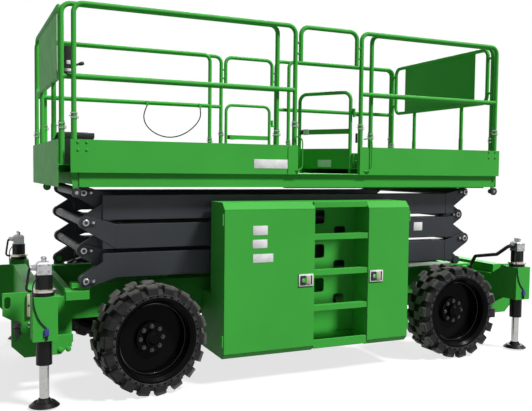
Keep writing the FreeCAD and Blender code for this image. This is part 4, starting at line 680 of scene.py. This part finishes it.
def wheel_frame(side_x, side_y, steer):
    """A placement with its origin in the wheel's middle and its Z axis pointing outward."""
    turn = math.radians(steer)
    reach = side_y * (WHEEL_Y - KINGPIN_Y)
    middle = (side_x * WHEEL_X - reach * math.sin(turn), side_y * KINGPIN_Y + reach * math.cos(turn),
              WHEEL_HEIGHT)
    outward = Vector((-side_y * math.sin(turn), side_y * math.cos(turn), 0.0))
    across = Vector(UP).cross(outward)
    turned = Matrix((across, Vector(UP), outward)).transposed().to_4x4()
    return Matrix.Translation(middle) @ turned, outward


def ring_point(place, count, index, reach, height):
    """One of a number of points spaced evenly round the placement's Z axis."""
    angle = 2 * math.pi * index / count
    return place @ Vector((reach * math.cos(angle), reach * math.sin(angle), height))


def build_wheel_trim():
    """Rim rings, wheel nuts and the small holes that ring the solid tyre's sidewall, each hole a flat black
    disc of painted shade.
    """
    for name, side_x, side_y, steer in WHEELS:
        place, outward = wheel_frame(side_x, side_y, steer)
        middle = place @ Vector()
        made = Build(LIP_PAINT)
        for loop in RIM_LIPS:
            made.turned(middle, outward, loop, 72, True)
        for index in range(NUTS):
            made.bolt(ring_point(place, NUTS, index, NUT_REACH, NUT_SEAT), outward, 0.012)
        made.piece("wheel_trim_" + name, "wheel_" + name)
        made = Build(BAND_RUBBER, HOLE_PAINTED_SHADE)
        made.turned(middle, outward, SIDEWALL_BAND, 108, True)
        for index in range(HOLES):
            centre = ring_point(place, HOLES, index, HOLE_REACH, BAND_FACE - 0.0005)
            made.use(BAND_RUBBER)
            made.turned(centre, outward, HOLE_EDGE, 14, True)
            # A matt black disc in each hole: painted shade where the hole's depth would be.
            made.use(HOLE_PAINTED_SHADE)
            made.turned(centre, outward, HOLE_SHADE_DISC, 14)
        made.piece("sidewall_band_" + name, "wheel_" + name)


# Clips at the rail sockets

# piece, body, distance from the middle, height, x of the posts
SOCKET_CLIPS = (
    ("main_socket_clips", "platform", 0.886, 2.100, (-1.953, -0.143, 0.504, 2.027)),
    ("left_socket_clips", "left_extension", 0.838, 2.025, (-2.034, -0.287)),
    ("right_socket_clips", "right_extension", 0.838, 2.025, (0.640, 2.023)),
)
CLIP_INNER = 0.0214
CLIP_OUTER = 0.0260
CLIP_HEIGHT = 0.009
# One turn of a band, as a closed loop
CLIP_BAND = ((CLIP_INNER, 0.0), (CLIP_OUTER, 0.0), (CLIP_OUTER, CLIP_HEIGHT), (CLIP_INNER, CLIP_HEIGHT))
CLIP_RISES = (0.0, -0.034)
CLIP_LEAN = (0.1, 0.0, 1.0)
PIN_HALF = 0.034
PIN_DROP = 0.014
CLIP_PIN = (
    (0.0, 0.0), (0.006, 0.0), (0.006, 0.004), (0.003, 0.005), (0.003, 2 * PIN_HALF), (0.0, 2 * PIN_HALF))
PULL_RADIUS = 0.011
PULL_STEPS = 12


def socket_clip(made, x, y, height):
    """Two bands round a socket, with a cross pin between them that has a pull ring at one end."""
    for rise in CLIP_RISES:
        made.turned((x, y, height + rise), CLIP_LEAN, CLIP_BAND, 24, True)
    pin_z = height - PIN_DROP
    made.turned((x - PIN_HALF, y, pin_z), (1.0, 0.0, 0.0), CLIP_PIN, 10)
    pull = []
    for step in range(PULL_STEPS + 1):
        angle = 2 * math.pi * step / PULL_STEPS
        pull.append((x + PIN_HALF - 0.003, y + PULL_RADIUS * math.sin(angle),
                     pin_z - PULL_RADIUS + PULL_RADIUS * math.cos(angle)))
    made.tube(pull, 0.0015, 6)


def build_socket_clips():
    for name, body, reach, height, posts in SOCKET_CLIPS:
        made = Build(ZINC)
        for side in SIDES:
            for x in posts:
                socket_clip(made, x, side * reach, height)
        made.piece(name, body)


# Grab bars beside the entries

# x at the bar's feet, x at its grip
GRAB_BARS = ((-0.150, -0.090), (0.520, 0.598))
GRAB_TOP = 1.985
GRAB_MIDDLE = 1.840
GRAB_LOW = 1.700
GRAB_FACE = 0.933
GRAB_TURN = 0.030


def build_grab_bars():
    made = Build(GREEN_PAINT)
    for side in SIDES:
        foot_y = side * TOE_FACE
        grip_y = side * GRAB_FACE
        for start, grip in GRAB_BARS:
            turn = GRAB_TURN if grip > start else -GRAB_TURN
            made.tube([
                (start, foot_y, GRAB_TOP - 0.004), (start + turn, grip_y, GRAB_TOP),
                (grip - turn, grip_y, GRAB_TOP - 0.002), (grip, grip_y, GRAB_TOP - 0.040),
                (grip, grip_y, GRAB_MIDDLE), (grip, grip_y, GRAB_LOW + 0.040),
                (grip - turn, grip_y, GRAB_LOW + 0.004), (start, foot_y, GRAB_LOW)], 0.0055, 10)
    made.piece("entry_grab_bars", "platform")


# Deck rollers

# x, height
ROLLERS = ((-1.938, 1.518), (2.022, 1.518))
ROLLER_INNER = 0.884
# A roller round its bore, as a closed loop
ROLLER = ((0.010, 0.0), (0.032, 0.0), (0.036, 0.004), (0.036, 0.022), (0.032, 0.026), (0.010, 0.026))


def build_deck_rollers():
    made = Build(PLASTIC, ZINC)
    for side in SIDES:
        for x, height in ROLLERS:
            made.use(PLASTIC)
            made.turned((x, side * ROLLER_INNER, height), facing(side), ROLLER, 28, True)
            made.use(ZINC)
            made.bolt((x, side * (ROLLER_INNER + 0.024), height), facing(side), 0.009)
    made.piece("deck_rollers", "platform")


# Outrigger fittings

HEAD_X = 2.190
HEAD_Y = 1.060
HEAD_HALF = 0.046
HEAD_FACE = 0.048
HEAD_TOP = 1.060
HEAD_HOSE_Z = 1.000
HEAD_BOLT_OFFSET = 0.030
HEAD_BOLT_HEIGHTS = (0.975, 1.020)
COUPLING = ((0.0, 0.0), (0.024, 0.0), (0.024, 0.018), (0.021, 0.022), (0.021, 0.044), (0.0, 0.044))
PORT_PLUG = ((0.0, 0.0), (0.018, 0.0), (0.018, 0.010), (0.014, 0.014), (0.0, 0.014))
BOX_FACE = 1.145
# The sensor's lead: x from the head's middle, distance from the machine's middle, height
LEAD_ROUTE = (
    (-0.050, HEAD_Y + 0.030, 0.930), (-0.078, HEAD_Y + 0.052, 0.880), (-0.080, BOX_FACE + 0.002, 0.800),
    (-0.070, BOX_FACE + 0.004, 0.720), (-0.040, BOX_FACE + 0.004, 0.640), (0.004, BOX_FACE + 0.004, 0.585),
    (0.008, BOX_FACE + 0.004, 0.560))


def build_outrigger_trim():
    """Couplings, port plugs and bolts on each head, and a sensor lead down the housing to its plug."""
    for end_name, end in (("left", -1), ("right", 1)):
        for side_name, side in SIDE_NAMES:
            x = end * HEAD_X
            y = side * HEAD_Y
            made = Build(ZINC, BLACK_PAINT, BLUE_PLASTIC, HOSE_RUBBER)
            made.use(BLACK_PAINT if end > 0 else ZINC)
            made.turned((x - HEAD_HALF, y, HEAD_HOSE_Z), (-1.0, 0.0, 0.0), COUPLING, 6)
            made.use(ZINC)
            for offset in (-0.020, 0.022):
                made.turned((x, y + offset, HEAD_TOP), UP, PORT_PLUG, 6)
            for height in HEAD_BOLT_HEIGHTS:
                for offset in (-HEAD_BOLT_OFFSET, HEAD_BOLT_OFFSET):
                    made.bolt((x + offset, y + side * HEAD_FACE, height), facing(side), 0.006)
            made.use(HOSE_RUBBER)
            lead = [(x + offset, side * reach, height) for offset, reach, height in LEAD_ROUTE]
            made.tube(lead, 0.0045, 8)
            made.use(BLUE_PLASTIC)
            made.block((x - 0.008, side * (BOX_FACE - 0.002), 0.528),
                       (x + 0.024, side * (BOX_FACE + 0.014), 0.580), 0.004)
            made.use(BLACK_PAINT)
            made.turned((x + 0.008, side * (BOX_FACE + 0.004), 0.530), DOWN, drum(0.009, 0.026), 12)
            made.piece("outrigger_trim_{}_{}".format(end_name, side_name), "chassis")


# The power inlet and its relay on the near left end

INLET_X = -2.350
INLET_Y = -0.800
INLET_Z = 0.548
INLET_DOME = (
    (0.0, 0.0), (0.030, 0.0), (0.030, 0.008), (0.027, 0.016), (0.020, 0.024), (0.010, 0.028), (0.0, 0.029))
INLET_PLUG = ((0.0, 0.0), (0.014, 0.0), (0.012, 0.020), (0.007, 0.028), (0.006, 0.046), (0.0, 0.048))
RELAY_SPAN = ((-2.282, -2.256), (0.604, 0.771))
RELAY_BUTTON = ((0.0, 0.0), (0.008, 0.0), (0.007, 0.004), (0.003, 0.004), (0.0, 0.002))
RELAY_BUTTON_Z = 0.690
SEALING_CAP = ((0.0, 0.0), (0.007, 0.0), (0.006, 0.006), (0.003, 0.008), (0.0, 0.008))
SEALING_CAP_X = -2.268
SEALING_CAP_HEIGHTS = (0.525, 0.554)


def build_inlet():
    """A domed inlet with its plug body below, a relay block beside it and two sealing caps."""
    out = facing(-1)
    wall = INLET_Y + 0.002
    made = Build(GREY_PAINT, PLASTIC, BEIGE_PLASTIC, WHITE_LABEL)
    made.turned((INLET_X, wall, INLET_Z), out, INLET_DOME, 24)
    made.use(PLASTIC)
    made.block((INLET_X - 0.022, INLET_Y - 0.034, 0.470), (INLET_X + 0.022, wall, 0.528), 0.008)
    made.turned((INLET_X - 0.004, INLET_Y - 0.018, 0.474), (-0.2, 0.0, -1.0), INLET_PLUG, 16)
    made.use(BEIGE_PLASTIC)
    across, up = RELAY_SPAN
    made.block((across[0], INLET_Y - 0.022, up[0]), (across[1], wall, up[1]), 0.004)
    made.use(PLASTIC)
    made.turned(((across[0] + across[1]) / 2, INLET_Y - 0.021, RELAY_BUTTON_Z), out, RELAY_BUTTON, 16)
    made.use(WHITE_LABEL)
    for height in SEALING_CAP_HEIGHTS:
        made.turned((SEALING_CAP_X, wall, height), out, SEALING_CAP, 14)
    made.piece("power_inlet", "chassis")


# Gate fittings

GATE_HINGE = (0.452, 0.862)
GATE_ANGLE = 56.0
# material, low and high corner, bevel. X runs from the hinge towards the latch and Y outward.
GATE_PARTS = (
    (WHITE_LABEL, (0.445, 0.002, 2.026), (0.500, 0.014, 2.079), 0.003),
    (WHITE_LABEL, (0.215, 0.002, 1.735), (0.350, 0.0045, 1.800), 0.0008),
    (PLASTIC, (0.500, -0.006, 2.034), (0.528, 0.016, 2.072), 0.003),
    (ZINC, (0.515, -0.004, 2.046), (0.556, 0.004, 2.060), 0.002),
)
# The rubber stop on the post that carries the gate
STOP_X = 0.480
STOP_SPAN = (1.950, 2.035)
STOP_HALF = (0.006, 0.012)


def gate_place(side):
    """The gate's own frame, turned as far as the gate stands open."""
    turn = math.radians(GATE_ANGLE if side < 0 else 0.0)
    hinge = Matrix.Translation((GATE_HINGE[0], side * GATE_HINGE[1], 0.0))
    return hinge @ Matrix.Rotation(side * turn, 4, "Z") @ Matrix.Diagonal((-1.0, float(side), 1.0, 1.0))


def build_gate_trim():
    """A latch and a blank plate on each gate, and a stop on its post."""
    for side_name, side in SIDE_NAMES:
        place = gate_place(side)
        made = Build(WHITE_LABEL, PLASTIC, ZINC)
        for material, low, high, bevel in GATE_PARTS:
            made.use(material)
            made.block(low, high, bevel, place)
        made.piece("gate_trim_" + side_name, "gate_" + side_name)
        made = Build(PLASTIC, ZINC)
        y = side * GATE_HINGE[1]
        made.block((STOP_X - STOP_HALF[0], y - STOP_HALF[1], STOP_SPAN[0]),
                   (STOP_X + STOP_HALF[0], y + STOP_HALF[1], STOP_SPAN[1]), 0.003)
        made.use(ZINC)
        made.bolt((STOP_X - 0.004, y, 1.970), (-1.0, 0.0, 0.0), 0.005)
        made.piece("gate_stop_" + side_name, "platform")


# Boxes on the platform

FORWARD = (1.0, 0.0, 0.0)
STICK = (
    (0.0, 0.0), (0.026, 0.0), (0.022, 0.010), (0.017, 0.014), (0.018, 0.020), (0.011, 0.026),
    (0.008, 0.060), (0.013, 0.070), (0.015, 0.092), (0.011, 0.104), (0.0, 0.106))
STICK_LEAN = (1.0, 0.0, 0.3)
STOP_BUTTON = (
    (0.0, 0.0), (0.010, 0.0), (0.010, 0.010), (0.020, 0.013), (0.021, 0.019), (0.016, 0.024), (0.0, 0.025))
SWITCH = ((0.0, 0.0), (0.007, 0.0), (0.007, 0.004), (0.003, 0.006), (0.004, 0.018), (0.0, 0.019))
SWITCH_OFFSETS = (-0.045, -0.015, 0.015, 0.045)
GLAND = ((0.0, 0.0), (0.014, 0.0), (0.014, 0.012), (0.010, 0.016), (0.010, 0.026), (0.0, 0.028))


def build_control_box():
    """The face, joystick, stop button, switches and gland of the control box, and plates on its side."""
    low, high = (Vector(corner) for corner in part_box("control_box"))
    made = Build(GREY_PAINT, PLASTIC, RED_PLASTIC, ZINC, WHITE_LABEL)
    made.block((high.x - 0.002, low.y + 0.010, low.z + 0.010),
               (high.x + 0.004, high.y - 0.010, high.z - 0.010), 0.003)
    front = high.x + 0.003
    middle = (low.y + high.y) / 2
    made.use(PLASTIC)
    made.turned((front, middle + 0.030, low.z + 0.060), STICK_LEAN, STICK, 20)
    made.turned((low.x + 0.030, middle, low.z + 0.001), DOWN, GLAND, 16)
    made.use(RED_PLASTIC)
    made.turned((front, middle - 0.045, high.z - 0.045), FORWARD, STOP_BUTTON, 24)
    made.use(ZINC)
    for offset in SWITCH_OFFSETS:
        made.turned((front, middle + offset, low.z + 0.120), FORWARD, SWITCH, 12)
    made.use(WHITE_LABEL)
    made.block((low.x + 0.020, low.y - 0.003, low.z + 0.058),
               (low.x + 0.050, low.y + 0.002, low.z + 0.086), 0.001)
    made.block((low.x + 0.004, low.y - 0.004, low.z + 0.004),
               (high.x + 0.004, low.y + 0.004, low.z + 0.026), 0.002)
    made.piece("control_face", "left_extension")


CATCH_SHARES = (0.22, 0.78)


def build_tool_box():
    """The lid of the tool box, with a raised panel, and its two catches."""
    low, high = (Vector(corner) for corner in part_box("tool_box"))
    made = Build(PLASTIC, ZINC)
    made.block((low.x + 0.001, low.y - 0.004, high.z - 0.040),
               (high.x + 0.006, high.y + 0.004, high.z + 0.004), 0.005)
    made.block((low.x + 0.040, low.y + 0.050, high.z + 0.002),
               (high.x - 0.035, high.y - 0.050, high.z + 0.010), 0.004)
    made.use(ZINC)
    for share in CATCH_SHARES:
        y = low.y + share * (high.y - low.y)
        made.block((high.x + 0.002, y - 0.016, high.z - 0.062),
                   (high.x + 0.010, y + 0.016, high.z - 0.018), 0.002)
        made.block((high.x - 0.001, y - 0.011, high.z - 0.095),
                   (high.x + 0.006, y + 0.011, high.z - 0.060), 0.002)
    made.piece("tool_box_lid", "left_extension")


build_cable()
build_arm_pins()
build_labels()
build_latches()
build_bolts()
build_wheel_trim()
build_socket_clips()
build_grab_bars()
build_deck_rollers()
build_outrigger_trim()
build_inlet()
build_gate_trim()
build_control_box()
build_tool_box()


# Floor, light and camera

FLOOR_DARK = (0.19, 0.19, 0.19)
FLOOR_LIGHT = (0.21, 0.21, 0.21)
FLOOR_GLOW = 0.75
FLOOR_FADE = (2.6, 6.5)
FLOOR_RADIUS = 60.0
FLOOR_DROP = 0.0005
WHITE = (1.0, 1.0, 1.0, 1.0)
SKY = (0.93, 0.96, 1.0, 1.0)
SKY_STRENGTH = 0.08
# name, azimuth, elevation, strength, angle that its disc fills. Azimuth 0 shines along +Y, 90 along -X.
SUNS = (
    ("key", 40.0, 52.0, 4.7, 10.0),
    ("fill", -50.0, 30.0, 0.1, 60.0),
    ("back", 150.0, 30.0, 2.2, 30.0),
)


def seen_directly(nodes, links):
    """1 for camera, glossy and transmission rays, else 0."""
    path = nodes.new("ShaderNodeLightPath")
    total = path.outputs["Is Camera Ray"]
    for name in ("Is Glossy Ray", "Is Transmission Ray"):
        larger = nodes.new("ShaderNodeMath")
        larger.operation = "MAXIMUM"
        links.new(total, larger.inputs[0])
        links.new(path.outputs[name], larger.inputs[1])
        total = larger.outputs["Value"]
    return total


def times(nodes, links, source, factor):
    """The source multiplied by a number or by another socket."""
    node = nodes.new("ShaderNodeMath")
    node.operation = "MULTIPLY"
    links.new(source, node.inputs[0])
    if isinstance(factor, float):
        node.inputs[1].default_value = factor
    else:
        links.new(factor, node.inputs[1])
    return node.outputs["Value"]


def floor_material():
    """A pale floor that turns into the white of the background away from the machine."""
    material, nodes, links, bsdf = new_material("pale_floor")
    speckle = noise_at(nodes, links, 3.0, 3.0)
    shade = ramp(nodes, links, speckle.outputs["Fac"], 0.3, 0.7, FLOOR_DARK, FLOOR_LIGHT)
    links.new(shade.outputs["Color"], bsdf.inputs["Base Color"])
    bsdf.inputs["Roughness"].default_value = 0.9
    bsdf.inputs["Specular IOR Level"].default_value = 0.1
    # Seen directly, the floor is nearly as pale as the background. What it reflects onto the machine isn't.
    seen = seen_directly(nodes, links)
    bsdf.inputs["Emission Color"].default_value = WHITE
    links.new(times(nodes, links, seen, FLOOR_GLOW), bsdf.inputs["Emission Strength"])
    place = nodes.new("ShaderNodeTexCoord")
    distance = nodes.new("ShaderNodeVectorMath")
    distance.operation = "LENGTH"
    links.new(place.outputs["Object"], distance.inputs[0])
    fade = nodes.new("ShaderNodeMapRange")
    fade.interpolation_type = "SMOOTHSTEP"
    fade.inputs["From Min"].default_value = FLOOR_FADE[0]
    fade.inputs["From Max"].default_value = FLOOR_FADE[1]
    links.new(distance.outputs["Value"], fade.inputs["Value"])
    white = nodes.new("ShaderNodeEmission")
    white.inputs["Color"].default_value = WHITE
    mix = nodes.new("ShaderNodeMixShader")
    links.new(times(nodes, links, fade.outputs["Result"], seen), mix.inputs["Fac"])
    links.new(bsdf.outputs["BSDF"], mix.inputs[1])
    links.new(white.outputs["Emission"], mix.inputs[2])
    links.new(mix.outputs["Shader"], nodes["Material Output"].inputs["Surface"])
    return material


def build_floor():
    mesh = bpy.data.meshes.new("floor")
    shape = bmesh.new()
    bmesh.ops.create_circle(shape, cap_ends=True, segments=96, radius=FLOOR_RADIUS)
    shape.to_mesh(mesh)
    shape.free()
    mesh.materials.append(floor_material())
    floor = bpy.data.objects.new("floor", mesh)
    floor.location.z = -FLOOR_DROP
    bpy.context.scene.collection.objects.link(floor)


def build_world():
    """A dim sky that lights the machine, seen as plain white."""
    world = bpy.data.worlds.new("studio")
    bpy.context.scene.world = world
    world.use_nodes = True
    nodes = world.node_tree.nodes
    links = world.node_tree.links
    light = nodes["Background"]
    light.inputs["Color"].default_value = SKY
    light.inputs["Strength"].default_value = SKY_STRENGTH
    white = nodes.new("ShaderNodeBackground")
    white.inputs["Color"].default_value = WHITE
    white.inputs["Strength"].default_value = 1.0
    mix = nodes.new("ShaderNodeMixShader")
    links.new(seen_directly(nodes, links), mix.inputs["Fac"])
    links.new(light.outputs["Background"], mix.inputs[1])
    links.new(white.outputs["Background"], mix.inputs[2])
    links.new(mix.outputs["Shader"], nodes["World Output"].inputs["Surface"])


def build_suns():
    for name, azimuth, elevation, strength, angle in SUNS:
        lamp = bpy.data.lights.new(name, "SUN")
        lamp.energy = strength
        lamp.angle = math.radians(angle)
        holder = bpy.data.objects.new(name, lamp)
        turn = math.radians(azimuth)
        rise = math.radians(elevation)
        back = Vector((math.sin(turn) * math.cos(rise), -math.cos(turn) * math.cos(rise), math.sin(rise)))
        holder.rotation_mode = "QUATERNION"
        holder.rotation_quaternion = (-back).to_track_quat("-Z", "Y")
        bpy.context.scene.collection.objects.link(holder)


def build_camera():
    yaw = math.radians(CAMERA_YAW)
    pitch = math.radians(CAMERA_PITCH)
    roll = math.radians(CAMERA_ROLL)
    ahead = Vector((math.sin(yaw) * math.cos(pitch), math.cos(yaw) * math.cos(pitch), math.sin(pitch)))
    level = Vector((math.cos(yaw), -math.sin(yaw), 0.0))
    upright = level.cross(ahead)
    right = level * math.cos(roll) + upright * math.sin(roll)
    up = upright * math.cos(roll) - level * math.sin(roll)
    camera = bpy.data.cameras.new("camera")
    camera.sensor_width = SENSOR
    camera.lens = FOCAL_PIXELS / PHOTO_WIDTH * SENSOR
    holder = bpy.data.objects.new("camera", camera)
    turned = Matrix((right, up, -ahead)).transposed().to_4x4()
    holder.matrix_world = Matrix.Translation(CAMERA_PLACE) @ turned
    bpy.context.scene.collection.objects.link(holder)
    bpy.context.scene.camera = holder


bpy.context.scene.view_settings.view_transform = "Standard"
build_floor()
build_world()
build_suns()
build_camera()
